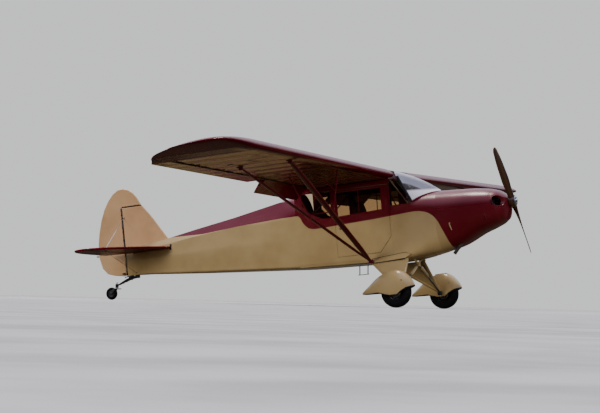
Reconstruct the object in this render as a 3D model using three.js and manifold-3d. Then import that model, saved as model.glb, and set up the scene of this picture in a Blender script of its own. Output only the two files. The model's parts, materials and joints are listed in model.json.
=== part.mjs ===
// A light aircraft: three seats, high strutted wing, tail wheel, fabric over a tube frame.
// Millimetres. Every piece is drawn in level-flight axes: x forward of the wing's root
// leading edge, y to port, z above the propeller shaft. The last section stands the whole
// aircraft on its three wheels, nose up, with the floor at z = 0.
import * as THREE from 'three';
import { mergeVertices } from 'three/addons/utils/BufferGeometryUtils.js';
import Module from 'manifold-3d';

const wasm = await Module();
wasm.setup();

// Driving dimensions
const GAP = 0.3; // between two pieces that touch
const RUNNING = 6; // between two pieces that move past each other
const HALF_SPAN = 5404;
const CHORD = 1600;
const DIHEDRAL = THREE.MathUtils.degToRad(1.04);
const WING_FLAT = 506; // height of the wing's flat underside at the centre line
const CABIN = { rear: -1620, post: -90, front: 594, halfWidth: 347, wall: 30, top: 505 };
const DECK = { halfWidth: 360, sill: 31, crown: 272, power: 2.2 };
const WHEEL = { x: 134, y: 928, z: -1174, radius: 222.5, halfWidth: 76, rim: 98 };
const TAIL_WHEEL = { x: -5064, z: -685, radius: 97, halfWidth: 29 };
const STRUT_FOOT = { x: -452, y: 372, z: -672 };
const SPAR = { front: -234, rear: -977, strutTop: 3337 };
const HINGE_AFT = 1330; // of flaps and ailerons, behind the leading edge
const FLAP = { inner: 500, outer: 1884, down: THREE.MathUtils.degToRad(40) };
const AILERON = { inner: 1896, outer: 4616 };
const SHAFT = { nose: 1612, front: 1712, radius: 40 };
const PROPELLER = { x: 1662, radius: 940, lean: THREE.MathUtils.degToRad(40) };
const RUDDER_AXIS = { top: [-4788, 650], foot: [-4752, -440] }; // x, z of the hinge line
const HINGE_PIN = 5; // radius of the pins of doors, flaps and tail surfaces
const STABILISER_Z = -87;
const ELEVATOR_HINGE_X = -4603;

// Finishes
const finish = (color, roughness, metalness = 0) => new THREE.MeshStandardMaterial({
  color, roughness, metalness,
});
const PAINT = {
  maroon: finish(0x4a0d14, 0.35),
  cream: finish(0xb59a74, 0.45),
  glass: finish(0xb8c4c8, 0.1),
  steel: finish(0x8d8f90, 0.35, 1),
  black: finish(0x16161a, 0.8),
  leather: finish(0x5a3c2c, 0.7),
  grey: finish(0x4a4c4e, 0.6),
  wood: finish(0x4f2f1c, 0.3),
};

const level = new THREE.Group();

function add(name, solid, material) {
  const mesh = new THREE.Mesh(toGeometry(solid), material);
  mesh.name = name;
  level.add(mesh);
}

// Solids from geometry, and back
function toSolid(geometry) {
  const bare = geometry.index ? geometry.toNonIndexed() : geometry.clone();
  bare.deleteAttribute('normal');
  bare.deleteAttribute('uv');
  const merged = mergeVertices(bare, 1e-3);
  return new wasm.Manifold(new wasm.Mesh({
    numProp: 3,
    vertProperties: new Float32Array(merged.attributes.position.array),
    triVerts: new Uint32Array(merged.index.array),
  }));
}

function toGeometry(solid) {
  const mesh = solid.getMesh();
  const geometry = new THREE.BufferGeometry();
  geometry.setAttribute('position', new THREE.BufferAttribute(mesh.vertProperties, 3));
  geometry.setIndex(new THREE.BufferAttribute(mesh.triVerts, 1));
  return geometry;
}

const join = (first, ...others) => others.reduce((sum, solid) => sum.add(solid), first);
const cut = (first, ...others) => others.reduce((rest, solid) => rest.subtract(solid), first);
const point = (x, y, z) => new THREE.Vector3(x, y, z);
const mirrorY = (solid) => solid.mirror([0, 1, 0]);

// A closed body through rings of points, all with the same number of points
function loft(rings) {
  const count = rings[0].length;
  const points = rings.flat();
  const index = [];
  for (let r = 0; r + 1 < rings.length; r += 1) {
    for (let i = 0; i < count; i += 1) {
      const a = r * count + i;
      const b = r * count + ((i + 1) % count);
      index.push(a, b, b + count, a, b + count, a + count);
    }
  }
  for (const [first, last] of [[0, false], [(rings.length - 1) * count, true]]) {
    const ring = points.slice(first, first + count);
    const centre = ring.reduce((sum, p) => sum.add(p), point(0, 0, 0)).divideScalar(count);
    const hub = points.push(centre) - 1;
    for (let i = 0; i < count; i += 1) {
      const a = first + i;
      const b = first + ((i + 1) % count);
      index.push(...(last ? [hub, a, b] : [hub, b, a]));
    }
  }
  return closed(points, index);
}

// Turns a triangle list into a solid whose faces point out
function closed(points, index) {
  let volume = 0;
  for (let i = 0; i < index.length; i += 3) {
    const [a, b, c] = [points[index[i]], points[index[i + 1]], points[index[i + 2]]];
    volume += a.dot(b.clone().cross(c));
  }
  const facing = volume > 0 ? index : index.slice().reverse();
  const geometry = new THREE.BufferGeometry().setFromPoints(points);
  geometry.setIndex(facing);
  return toSolid(geometry);
}

// A sheet of a given thickness under a grid of points, rows by columns
function sheet(grid, thickness) {
  const rows = grid.length;
  const columns = grid[0].length;
  const at = (r, c) => grid[Math.min(Math.max(r, 0), rows - 1)][Math.min(Math.max(c, 0), columns - 1)];
  const points = grid.flat();
  for (let r = 0; r < rows; r += 1) {
    for (let c = 0; c < columns; c += 1) {
      const along = at(r + 1, c).clone().sub(at(r - 1, c));
      const across = at(r, c + 1).clone().sub(at(r, c - 1));
      const normal = along.cross(across).normalize();
      points.push(at(r, c).clone().addScaledVector(normal, -thickness));
    }
  }
  const under = rows * columns;
  const index = [];
  const quad = (a, b, c, d) => index.push(a, b, c, a, c, d);
  for (let r = 0; r + 1 < rows; r += 1) {
    for (let c = 0; c + 1 < columns; c += 1) {
      const a = r * columns + c;
      quad(a, a + columns, a + columns + 1, a + 1);
      quad(under + a, under + a + 1, under + a + columns + 1, under + a + columns);
    }
  }
  for (let r = 0; r + 1 < rows; r += 1) {
    const a = r * columns;
    const b = a + columns - 1;
    quad(a, under + a, under + a + columns, a + columns);
    quad(b, b + columns, under + b + columns, under + b);
  }
  for (let c = 0; c + 1 < columns; c += 1) {
    const b = (rows - 1) * columns + c;
    quad(c, c + 1, under + c + 1, under + c);
    quad(b, under + b, under + b + 1, b + 1);
  }
  return closed(points, index);
}

function box(x0, x1, y0, y1, z0, z1) {
  const geometry = new THREE.BoxGeometry(x1 - x0, y1 - y0, z1 - z0);
  geometry.translate((x0 + x1) / 2, (y0 + y1) / 2, (z0 + z1) / 2);
  return toSolid(geometry);
}

// A rod of oval section between two points, its chord lying fore and aft
function strut(from, to, chord, thick, sides = 12) {
  const axis = to.clone().sub(from).normalize();
  const fore = Math.abs(axis.x) > 0.9 ? point(0, 1, 0) : point(1, 0, 0);
  fore.addScaledVector(axis, -fore.dot(axis)).normalize();
  const side = axis.clone().cross(fore);
  const ring = (centre) => Array.from({ length: sides }, (_, i) => {
    const turn = (i + 0.5) * 2 * Math.PI / sides;
    return centre.clone()
      .addScaledVector(fore, Math.cos(turn) * chord / 2)
      .addScaledVector(side, Math.sin(turn) * thick / 2);
  });
  return loft([ring(from), ring(to)]);
}

const rod = (from, to, radius, sides = 10) => strut(from, to, 2 * radius, 2 * radius, sides);

// A flat panel with chamfered edges; its outline is drawn in x and z, or in x and y
function panel(outline, thickness, chamfer = 0, holes = []) {
  const shape = new THREE.Shape(outline.map(([u, v]) => new THREE.Vector2(u, v)));
  for (const hole of holes) {
    shape.holes.push(new THREE.Path(hole.map(([u, v]) => new THREE.Vector2(u, v))));
  }
  return new THREE.ExtrudeGeometry(shape, {
    depth: thickness - 2 * chamfer,
    bevelEnabled: chamfer > 0,
    bevelThickness: chamfer,
    bevelSize: chamfer,
    bevelOffset: -chamfer,
    bevelSegments: 1,
    curveSegments: 8,
  }).translate(0, 0, chamfer - thickness / 2);
}

const upright = (outline, thickness, y, chamfer, holes) => toSolid(
  panel(outline, thickness, chamfer, holes).rotateX(Math.PI / 2).translate(0, y, 0),
);
const lying = (outline, thickness, z, chamfer) => toSolid(
  panel(outline, thickness, chamfer).translate(0, 0, z),
);

// A closed curve through a few outline points, as short straight runs
function smooth(points, steps) {
  const curve = new THREE.SplineCurve(points.map(([u, v]) => new THREE.Vector2(u, v)));
  return curve.getPoints(steps).map((p) => [p.x, p.y]);
}

// Value of a table's column at x, on straight lines between its rows
function between(table, x, column) {
  const last = table.length - 1;
  const next = Math.min(Math.max(table.findIndex((row) => row[0] >= x), 1), last);
  const row = table[table.findIndex((entry) => entry[0] >= x) < 0 ? last : next];
  const before = table[(row === table[last] ? last : next) - 1];
  const share = THREE.MathUtils.clamp((x - before[0]) / (row[0] - before[0]), 0, 1);
  return before[column] + (row[column] - before[column]) * share;
}

// Section of the body at x: upright sides between two heights, rounded above and below
function bodyRing(x, s, inset = 0, half = 7) {
  const width = s.halfWidth - inset;
  const ring = [];
  for (let i = 0; i <= half; i += 1) {
    const turn = i * Math.PI / half;
    const across = Math.sign(Math.cos(turn)) * Math.abs(Math.cos(turn)) ** (2 / s.highPower);
    const up = Math.sin(turn) ** (2 / s.highPower);
    ring.push(point(x, width * across, s.high + (s.crown - inset - s.high) * up));
  }
  for (let i = 0; i <= half; i += 1) {
    const turn = i * Math.PI / half;
    const across = Math.sign(Math.cos(turn)) * Math.abs(Math.cos(turn)) ** (2 / s.lowPower);
    const down = Math.sin(turn) ** (2 / s.lowPower);
    ring.push(point(x, -width * across, s.low - (s.low - s.belly - inset) * down));
  }
  return ring;
}

// Lower line of the body: x, height of the belly
const BELLY = [
  [-4728, -437], [-4303, -458], [-3386, -532], [-1620, -655], [-470, -688], [100, -684],
  [315, -664], [594, -626],
];

// Rear fuselage: x, half width, top of the upright side, crown of the back
const REAR_BODY = [
  [-4728, 24, -70, -8],
  [-4500, 60, -62, 14],
  [-4000, 128, -30, 68],
  [-3440, 192, 26, 160],
  [-2743, 258, 88, 266],
  [-2000, 322, 118, 408],
  [-1620, 347, 128, 490],
];

function rearBody(grow = 0) {
  return loft(REAR_BODY.map(([x, halfWidth, high, crown], i) => bodyRing(
    x + (i === 0 ? -grow : 0) + (i === REAR_BODY.length - 1 ? grow - GAP * (grow === 0) : 0),
    {
      halfWidth: halfWidth + grow, high, crown: crown + grow, highPower: 1.7,
      low: between(BELLY, x, 1) + Math.min(70, halfWidth), belly: between(BELLY, x, 1) - grow,
      lowPower: 5,
    },
  )));
}

const stations = (rear, inner, front) => [rear, ...inner.filter((x) => x > rear && x < front), front];

// Cabin shell, hollow, from the rear bulkhead to the door posts
function cabinHull(inset, rear, front) {
  return loft(stations(rear, [-1050, -470], front).map((x) => bodyRing(x, {
    halfWidth: CABIN.halfWidth, high: CABIN.top - 40, crown: CABIN.top + 60, highPower: 12,
    low: between(BELLY, x, 1) + 60, belly: between(BELLY, x, 1), lowPower: 6,
  }, inset)));
}

// Body ahead of the door posts, with the deck in front of the windscreen
function bootHull(inset, rear, front) {
  return loft(stations(rear, [100, 315], front).map((x) => {
    const share = THREE.MathUtils.clamp((x - CABIN.post) / (CABIN.front - CABIN.post), 0, 1);
    return bodyRing(x, {
      halfWidth: CABIN.halfWidth + (DECK.halfWidth - CABIN.halfWidth) * Math.min(1, 3 * share),
      high: DECK.sill, crown: DECK.crown, highPower: DECK.power,
      low: between(BELLY, x, 1) + 60 + 90 * share,
      belly: between(BELLY, x, 1), lowPower: 6 - 3.2 * share,
    }, inset, 12);
  }));
}

// Wing section: share of the chord, upper and lower height as shares of the chord
const SECTION = [
  [0, 0.030, 0.030], [0.0125, 0.053, 0.014], [0.05, 0.080, 0.004], [0.12, 0.101, 0.0],
  [0.25, 0.1155, 0.0], [0.40, 0.1145, 0.0], [0.58, 0.096, 0.0], [0.78, 0.060, 0.0],
  [1.0, 0.006, 0.0],
];
const LIFT = Math.tan(DIHEDRAL);
const wingFlat = (y) => WING_FLAT + Math.abs(y) * LIFT;

// Wing plan: y, leading edge, trailing edge behind it, share of full thickness, rise of the flat
const WING_PLAN = [
  [347, 0, 1600, 1, 0],
  [4620, 0, 1600, 1, 0],
  [4790, 0, 1500, 0.93, 5],
  [4970, 8, 1400, 0.80, 16],
  [5140, 32, 1245, 0.62, 32],
  [5290, 85, 995, 0.40, 52],
  [5374, 160, 800, 0.22, 68],
  [HALF_SPAN, 250, 590, 0.07, 80],
];

function wingRing([y, leading, trailing, share, rise]) {
  const flat = wingFlat(y) + rise;
  const at = ([u], height) => point(
    -leading - u * (trailing - leading), y, flat + height * CHORD * share,
  );
  const upper = SECTION.map((row) => at(row, row[1]));
  const lower = SECTION.slice(1).reverse().map((row) => at(row, row[2]));
  return [...upper, ...lower];
}

const wingHeight = (aft) => between(SECTION, aft / CHORD, 1) * CHORD;
const HINGE_RADIUS = wingHeight(HINGE_AFT) / 2;
const WING_REAR_FACE = -(HINGE_AFT - HINGE_RADIUS - RUNNING);

const onFlapAxis = (y) => point(-HINGE_AFT, y, wingFlat(y) + HINGE_RADIUS);
const flapPin = (y, radius, reach) => rod(onFlapAxis(y - reach), onFlapAxis(y + reach), radius, 16);
const FLAP_PINS = [FLAP.inner - RUNNING / 2, (FLAP.outer + AILERON.inner) / 2, AILERON.outer + RUNNING / 2];

function leftWing() {
  const whole = loft(WING_PLAN.map(wingRing));
  const bay = box(-CHORD - 10, WING_REAR_FACE, FLAP.inner - RUNNING, AILERON.outer + RUNNING, 0, 1200);
  const middle = onFlapAxis(FLAP_PINS[1]);
  const arm = box(
    -HINGE_AFT - 8, WING_REAR_FACE + 4, middle.y - 3, middle.y + 3, middle.z - 12, middle.z + 12,
  );
  return join(cut(whole, bay), arm, ...FLAP_PINS.map((y) => flapPin(y, HINGE_PIN, 18)));
}

// A flap or aileron: a rounded nose about its hinge and straight skins to the trailing edge
function wingFlapRing(y, down) {
  const middle = wingFlat(y) + HINGE_RADIUS;
  const ring = Array.from({ length: 9 }, (_, i) => {
    const turn = Math.PI / 2 + (i / 8) * -Math.PI;
    return [HINGE_RADIUS * Math.cos(turn), HINGE_RADIUS * Math.sin(turn)];
  });
  ring.push([-(CHORD - HINGE_AFT), -HINGE_RADIUS], [-(CHORD - HINGE_AFT), 9 - HINGE_RADIUS]);
  return ring.map(([u, v]) => point(
    -HINGE_AFT + u * Math.cos(down) - v * Math.sin(down),
    y,
    middle + u * Math.sin(down) + v * Math.cos(down),
  ));
}

const wingFlap = ({ inner, outer, down = 0 }) => cut(
  loft([inner, outer].map((y) => wingFlapRing(y, down))),
  ...FLAP_PINS.map((y) => flapPin(y, HINGE_PIN + GAP + 0.1, 20)),
);

// Fuselage and cabin
const cabinShell = cut(
  cabinHull(0, CABIN.rear, CABIN.post - GAP),
  cabinHull(CABIN.wall, CABIN.rear - 50, CABIN.post + 50),
  box(-1800, 100, -400, 400, CABIN.top, 700),
);
const FLOOR_TOP = CABIN.wall + 12; // where the side walls stand

function floorBlock(grow) {
  return loft(stations(CABIN.rear - 1, [-470], CABIN.post + 1).map((x) => {
    const top = between(BELLY, x, 1) + FLOOR_TOP + grow;
    return [[-400, -900], [400, -900], [400, top], [-400, top]].map(([y, z]) => (
      point(x, y, z < -800 ? z : top)
    ));
  }));
}

const REAR_WINDOW = [[-1030, 40], [-1190, 40], [-1400, 150], [-1500, 260], [-1510, 440], [-1030, 440]];
const MID_WINDOW = [[-225, 78], [-940, 44], [-940, 400], [-225, 400]];
const QUARTER_WINDOW = [[CABIN.post, 43], [196, 43], [226, 92], [62, 504], [CABIN.post, 504]];
const DOOR = [[-110, 440], [-110, -330], [-300, -550], [-985, -550], [-985, 440]];

function shrink(outline, by) {
  const centre = outline.reduce(([u, v], [a, b]) => [u + a / outline.length, v + b / outline.length], [0, 0]);
  return outline.map(([u, v]) => {
    const length = Math.hypot(u - centre[0], v - centre[1]);
    const share = 1 - by * 1.5 / length;
    return [centre[0] + (u - centre[0]) * share, centre[1] + (v - centre[1]) * share];
  });
}

const through = (outline, y) => upright(outline, 120, y, 0);
const pane = (outline, y) => upright(shrink(outline, GAP), 6, y, 0);
const GLASS_Y = CABIN.halfWidth - 8;
const DOOR_Y = CABIN.halfWidth - CABIN.wall / 2;

const walls = cut(cabinShell, floorBlock(GAP));
// Door hinges outside the skin: knuckles of wall and door by turns on one upright pin
const DOOR_AXIS = { x: -103, y: -CABIN.halfWidth - 7.5 };
const DOOR_HINGES = [-240, 330];
const KNUCKLE = { radius: 7, half: 16, pin: 3 };
const doorAxis = (from, to, radius) => rod(
  point(DOOR_AXIS.x, DOOR_AXIS.y, from), point(DOOR_AXIS.x, DOOR_AXIS.y, to), radius, 12,
);
const wallKnuckle = (z) => join(
  doorAxis(z - KNUCKLE.half, z + KNUCKLE.half, KNUCKLE.radius),
  doorAxis(z - 2.6 * KNUCKLE.half, z + 2.6 * KNUCKLE.half, KNUCKLE.pin),
  box(DOOR_AXIS.x - 2, -91, -CABIN.halfWidth - 5, -CABIN.halfWidth + 2, z - KNUCKLE.half, z + KNUCKLE.half),
);
function doorKnuckle(z, side) {
  const ends = [z + side * (KNUCKLE.half + 1), z + side * 2.8 * KNUCKLE.half];
  const low = Math.min(...ends);
  const high = Math.max(...ends);
  const skin = -CABIN.halfWidth;
  return cut(
    join(
      doorAxis(low, high, KNUCKLE.radius),
      box(-170, DOOR_AXIS.x, skin - 5, skin - GAP, low, high),
      box(-170, -120, skin - 5, skin + 2, low, high),
    ),
    doorAxis(low - 1, high + 1, KNUCKLE.pin + GAP + 0.1),
  );
}

const leftWall = cut(walls.intersect(box(-1700, 0, 100, 400, -800, 600)),
  through(REAR_WINDOW, CABIN.halfWidth), through(MID_WINDOW, CABIN.halfWidth));
const rightWall = cut(walls.intersect(box(-1700, 0, -400, -100, -800, 600)),
  through(REAR_WINDOW, -CABIN.halfWidth), through(DOOR, -CABIN.halfWidth));
add('cabin_side_left', leftWall, PAINT.cream);
add('cabin_side_right', join(rightWall, ...DOOR_HINGES.map(wallKnuckle)), PAINT.cream);
const cabinFloor = cabinShell.intersect(floorBlock(0));
add('cabin_floor', cabinFloor, PAINT.cream);
add('window_rear_left', pane(REAR_WINDOW, GLASS_Y), PAINT.glass);
add('window_rear_right', pane(REAR_WINDOW, -GLASS_Y), PAINT.glass);
add('window_mid_left', pane(MID_WINDOW, GLASS_Y), PAINT.glass);

const doorLeaf = cut(
  upright(shrink(DOOR, RUNNING / 1.2), CABIN.wall, -DOOR_Y, 0),
  through(MID_WINDOW, -CABIN.halfWidth),
);
const doorKnuckles = DOOR_HINGES.flatMap((z) => [doorKnuckle(z, 1), doorKnuckle(z, -1)]);
add('door', join(doorLeaf, ...doorKnuckles), PAINT.cream);
add('door_window', pane(MID_WINDOW, -GLASS_Y), PAINT.glass);

// Front body: firewall, sides, belly and the deck ahead of the windscreen
const bootInner = bootHull(12, CABIN.post - 50, CABIN.front - 20);
const bootCowl = cut(
  bootHull(0, CABIN.post, CABIN.front),
  bootInner,
  box(CABIN.post - 10, 222, -400, 400, DECK.sill + 12, 400),
);
add('boot_cowl', bootCowl, PAINT.cream);
const panelHull = bootHull(12 + GAP, CABIN.post - 50, CABIN.front - 20);
const instrumentPanel = panelHull.intersect(box(223, 245, -400, 400, -130, 400));
add('instrument_panel', instrumentPanel, PAINT.black);

const rear = rearBody();
const tubeAlong = (radius, reach) => rod(
  point(ELEVATOR_HINGE_X, -reach, STABILISER_Z), point(ELEVATOR_HINGE_X, reach, STABILISER_Z), radius, 20,
);
const TUBE_RADIUS = 13;
const tubeBearing = tubeAlong(TUBE_RADIUS + 0.6, 100);

// Roof between the wings, hollow underneath
const roofRing = (y, raise) => wingRing([y, 0, CHORD, 1, 0])
  .map((p) => p.add(point(0, 0, WING_FLAT - wingFlat(y) + raise)));
const roofBlock = loft([roofRing(-CABIN.halfWidth + GAP, 0), roofRing(CABIN.halfWidth - GAP, 0)]);
const roofHollow = loft([roofRing(-300, -30), roofRing(300, -30)])
  .intersect(box(-1450, -150, -320, 320, 300, 900));
const roof = cut(
  roofBlock.intersect(box(-CHORD - 5, -85, -400, 400, 400, 900)),
  join(roofHollow, box(-1450, -150, -300, 300, 400, 540)),
);
add('cabin_roof', roof, PAINT.maroon);

// Windscreen: a sheet from a curve on the deck up to the wing's leading edge
function windscreen() {
  const rows = 7;
  const columns = 16;
  const grid = [];
  for (let r = 0; r <= rows; r += 1) {
    const t = r / rows;
    const centre = { x: 606 - 609 * t - 92 * t * t, z: 266 + 486 * t - 106 * t * t };
    const side = { x: 246 - 192 * t, z: 84 + 446 * t };
    const row = [];
    for (let c = 0; c <= columns; c += 1) {
      const s = -1 + 2 * c / columns;
      const forward = (1 - Math.abs(s) ** 1.5) ** 0.75;
      const up = (1 - Math.abs(s * 0.964) ** 2.2) ** 0.4545;
      const lift = THREE.MathUtils.lerp(up, 1 - Math.abs(s) ** 2.4, t);
      row.push(point(
        side.x + (centre.x - side.x) * forward,
        s * (CABIN.halfWidth - 2),
        side.z + (centre.z - side.z) * lift,
      ));
    }
    grid.push(row);
  }
  return sheet(grid, 6);
}

const glassKeepOut = join(
  bootHull(-GAP, CABIN.post, CABIN.front),
  box(CABIN.front, 800, -400, 400, -100, 400),
  roofBlock.intersect(box(-CHORD, -85 + GAP, -400, 400, 400, 900)),
);
add('windscreen', cut(windscreen(), glassKeepOut, box(-400, -85 + GAP, -400, 400, 400, 900)), PAINT.glass);
for (const [side, name] of [[1, 'left'], [-1, 'right']]) {
  const y = side * (CABIN.halfWidth - 4);
  add(`window_front_${name}`, cut(pane(QUARTER_WINDOW, y), glassKeepOut, windscreen()), PAINT.glass);
}

// Engine cowling: x, half width, top, bottom
const COWL = [
  [CABIN.front + GAP, 360, 272, -625],
  [900, 366, 258, -549],
  [1200, 356, 236, -412],
  [1400, 322, 200, -342],
  [1520, 262, 154, -284],
  [1585, 180, 98, -218],
  [1612, 96, 58, -140],
];
const CREASE = -14;

function cowlHull(rows, inset, rearX, frontX) {
  const ends = new Map([[0, rearX], [rows.length - 1, frontX]]);
  return loft(rows.map(([x, halfWidth, top, bottom], i) => bodyRing(ends.get(i) ?? x, {
    halfWidth, high: CREASE + 1, crown: top, highPower: 2.1, low: CREASE, belly: bottom, lowPower: 2.7,
  }, inset, 12)));
}

const rearRows = COWL.slice(0, 4);
const frontRows = COWL.slice(3);
const cowlShell = cut(
  cowlHull(rearRows, 0, CABIN.front + GAP, 1400 - GAP),
  cowlHull(rearRows, 8, 560, 1440),
);
const EXHAUST = { y: -120, radius: 26, top: point(960, -120, -430), outlet: point(760, -120, -660) };
const exhaustHole = rod(EXHAUST.top, EXHAUST.outlet, EXHAUST.radius + 9, 16);
add('upper_cowl', cowlShell.intersect(box(500, 1500, -500, 500, CREASE + GAP, 500)), PAINT.maroon);
const lowerShell = cowlShell.intersect(box(500, 1500, -500, 500, -900, CREASE));
add('lower_cowl', cut(lowerShell, exhaustHole), PAINT.maroon);
const inlet = (y) => rod(point(1380, y, 8), point(1700, y, 8), 78, 20);
const noseBowl = cut(
  cowlHull(frontRows, 0, 1400, 1612),
  cowlHull(frontRows, 8, 1380, 1598),
  inlet(238), inlet(-238),
  rod(point(1500, 0, 0), point(1700, 0, 0), 62, 20),
);
add('nose_bowl', noseBowl, PAINT.maroon);
add('engine_block', join(
  box(740, 1330, -255, 255, -150, 95),
  box(1320, 1420, -110, 110, -110, 80),
  box(CABIN.front + GAP, 750, -60, 60, -120, 60),
), PAINT.grey);
const riser = rod(point(EXHAUST.top.x, EXHAUST.y, -150 - GAP), EXHAUST.top, EXHAUST.radius - 3, 14);
add('exhaust_pipe', join(riser, rod(EXHAUST.top, EXHAUST.outlet, EXHAUST.radius, 14)), PAINT.steel);

// Propeller: share of the radius, chord, thickness, blade angle in degrees
const BLADE = [
  [0.05, 92, 74, 60], [0.18, 96, 52, 44], [0.40, 138, 30, 30], [0.65, 140, 20, 22],
  [0.88, 112, 13, 17], [1.0, 52, 7, 15],
];

function bladeRing([share, chord, thick, angle]) {
  const pitch = THREE.MathUtils.degToRad(angle);
  return Array.from({ length: 10 }, (_, i) => {
    const turn = (i + 0.5) * 2 * Math.PI / 10;
    const along = Math.cos(turn) * chord / 2;
    const off = Math.sin(turn) * thick / 2;
    return point(
      PROPELLER.x + along * Math.sin(pitch) + off * Math.cos(pitch),
      along * Math.cos(pitch) - off * Math.sin(pitch),
      share * PROPELLER.radius,
    );
  });
}

function propeller() {
  const blade = loft(BLADE.map(bladeRing));
  const boss = rod(point(SHAFT.nose + RUNNING, 0, 0), point(SHAFT.front - 12, 0, 0), 84, 24);
  const plate = rod(point(SHAFT.front - 13, 0, 0), point(SHAFT.front, 0, 0), 70, 24);
  const shaft = rod(point(1420 + GAP, 0, 0), point(SHAFT.nose + RUNNING + 1, 0, 0), SHAFT.radius, 20);
  const turned = join(blade, blade.rotate([180, 0, 0]), boss, plate, shaft);
  return turned.rotate([THREE.MathUtils.radToDeg(PROPELLER.lean), 0, 0]);
}
add('propeller', propeller(), PAINT.wood);

// Wings, flaps and ailerons
const pieces = [['left', (solid) => solid], ['right', mirrorY]];
const wing = leftWing();
for (const [name, place] of pieces) {
  add(`wing_${name}`, place(wing), PAINT.maroon);
  add(`aileron_${name}`, place(wingFlap(AILERON)), PAINT.maroon);
  add(`flap_${name}`, place(wingFlap(FLAP)), PAINT.maroon);
}

// Lift struts: name, spar, chord, thickness
const STRUTS = [['front', SPAR.front, 96, 38], ['rear', SPAR.rear, 62, 28]];
const foot = point(STRUT_FOOT.x, STRUT_FOOT.y, STRUT_FOOT.z);
const strutTop = (x) => point(x, SPAR.strutTop, wingFlat(SPAR.strutTop) + 12);
const loweredWing = wing.translate([0, 0, -GAP]);
const liftStruts = cut(
  join(
    ...STRUTS.map(([, x, chord, thick]) => strut(foot, strutTop(x), chord, thick)),
    box(foot.x - 42, foot.x + 42, CABIN.halfWidth + GAP, foot.y + 8, foot.z - 22, foot.z + 30),
  ),
  loweredWing,
  box(-700, 0, 0, CABIN.halfWidth + GAP, -900, 0),
);

// Jury struts: uprights from the lift struts to the wing, and the tie between them
const onStrut = (x, y) => foot.clone().lerp(strutTop(x), (y - foot.y) / (SPAR.strutTop - foot.y));
const JURY_Y = 1810;
const juryFeet = [onStrut(SPAR.front, JURY_Y), onStrut(SPAR.rear, JURY_Y)];
const juryTops = [SPAR.front, SPAR.rear].map((x) => point(x, JURY_Y, wingFlat(JURY_Y) + 12));
const JURY_TIE = 48; // height of the tie above the lift struts' middles
const tieEnds = juryFeet.map((end, i) => end.clone().lerp(juryTops[i], JURY_TIE / (juryTops[i].z - end.z)));
const juryStruts = cut(
  join(
    rod(juryFeet[0], juryTops[0], 10, 8),
    rod(juryFeet[1], juryTops[1], 9, 8),
    rod(tieEnds[0], tieEnds[1], 9, 8),
  ),
  loweredWing,
  ...STRUTS.map(([, x, chord, thick]) => strut(foot, strutTop(x), chord + 1, thick + 1)),
);
for (const [name, place] of pieces) {
  add(`lift_struts_${name}`, place(liftStruts), PAINT.maroon);
  add(`jury_struts_${name}`, place(juryStruts), PAINT.maroon);
}

// Tail: fin and rudder outlines in x and z
const FIN_LEADING = smooth([[-3975, 60], [-4128, 275], [-4288, 495], [-4412, 640]], 8);
const RUDDER_EDGE = smooth([
  [-4428, 660], [-4494, 776], [-4560, 852], [-4640, 908], [-4740, 934], [-4830, 922],
  [-4920, 866], [-5010, 768], [-5090, 640], [-5160, 470], [-5212, 270], [-5240, 90],
  [-5238, -120], [-5190, -283], [-5105, -375], [-4990, -412],
], 32);
const RUDDER_NOSE = 10; // of the rudder ahead of its hinge line
const FIN_REAR = 20; // rear edge of the fin ahead of the same line
const rudderAxisX = (z) => THREE.MathUtils.mapLinear(
  z, RUDDER_AXIS.foot[1], RUDDER_AXIS.top[1], RUDDER_AXIS.foot[0], RUDDER_AXIS.top[0],
);
const onRudderAxis = (z) => point(rudderAxisX(z), 0, z);
const RUDDER_HINGES = [520, 120, -300];

// The fin's lugs hold short pins that the rudder turns on
const rudderLug = (z) => join(
  box(rudderAxisX(z) - 2, rudderAxisX(z) + FIN_REAR + 12, -4, 4, z - 14, z + 14),
  rod(onRudderAxis(z - 14), onRudderAxis(z + 14), 9, 16),
);
const rudderPin = (z, radius, reach) => rod(onRudderAxis(z - reach), onRudderAxis(z + reach), radius, 16);
const rudderNotch = (z) => box(rudderAxisX(z) - 16, rudderAxisX(z) + 40, -40, 40, z - 15.5, z + 15.5);
const finPlate = upright([...FIN_LEADING, [rudderAxisX(625) + FIN_REAR, 625],
  [rudderAxisX(-60) + FIN_REAR, -60], [-3975, -60]], 34, 0, 7);
const fin = join(
  cut(finPlate, rearBody(GAP)),
  ...RUDDER_HINGES.slice(0, 2).map((z) => join(rudderLug(z), rudderPin(z, HINGE_PIN, 26))),
);
add('fin', fin, PAINT.cream);
const rudder = cut(
  upright([...RUDDER_EDGE, [rudderAxisX(-430) + RUDDER_NOSE, -430],
    [rudderAxisX(640) + RUDDER_NOSE, 640], [-4440, 655]], 34, 0, 7),
  ...RUDDER_HINGES.map((z) => join(rudderNotch(z), rudderPin(z, HINGE_PIN + GAP + 0.1, 28))),
);
add('rudder', rudder, PAINT.cream);
const rearTail = join(rear, rudderLug(RUDDER_HINGES[2]), rudderPin(RUDDER_HINGES[2], HINGE_PIN, 26));
add('rear_fuselage', cut(rearTail, tubeBearing), PAINT.cream);

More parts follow.
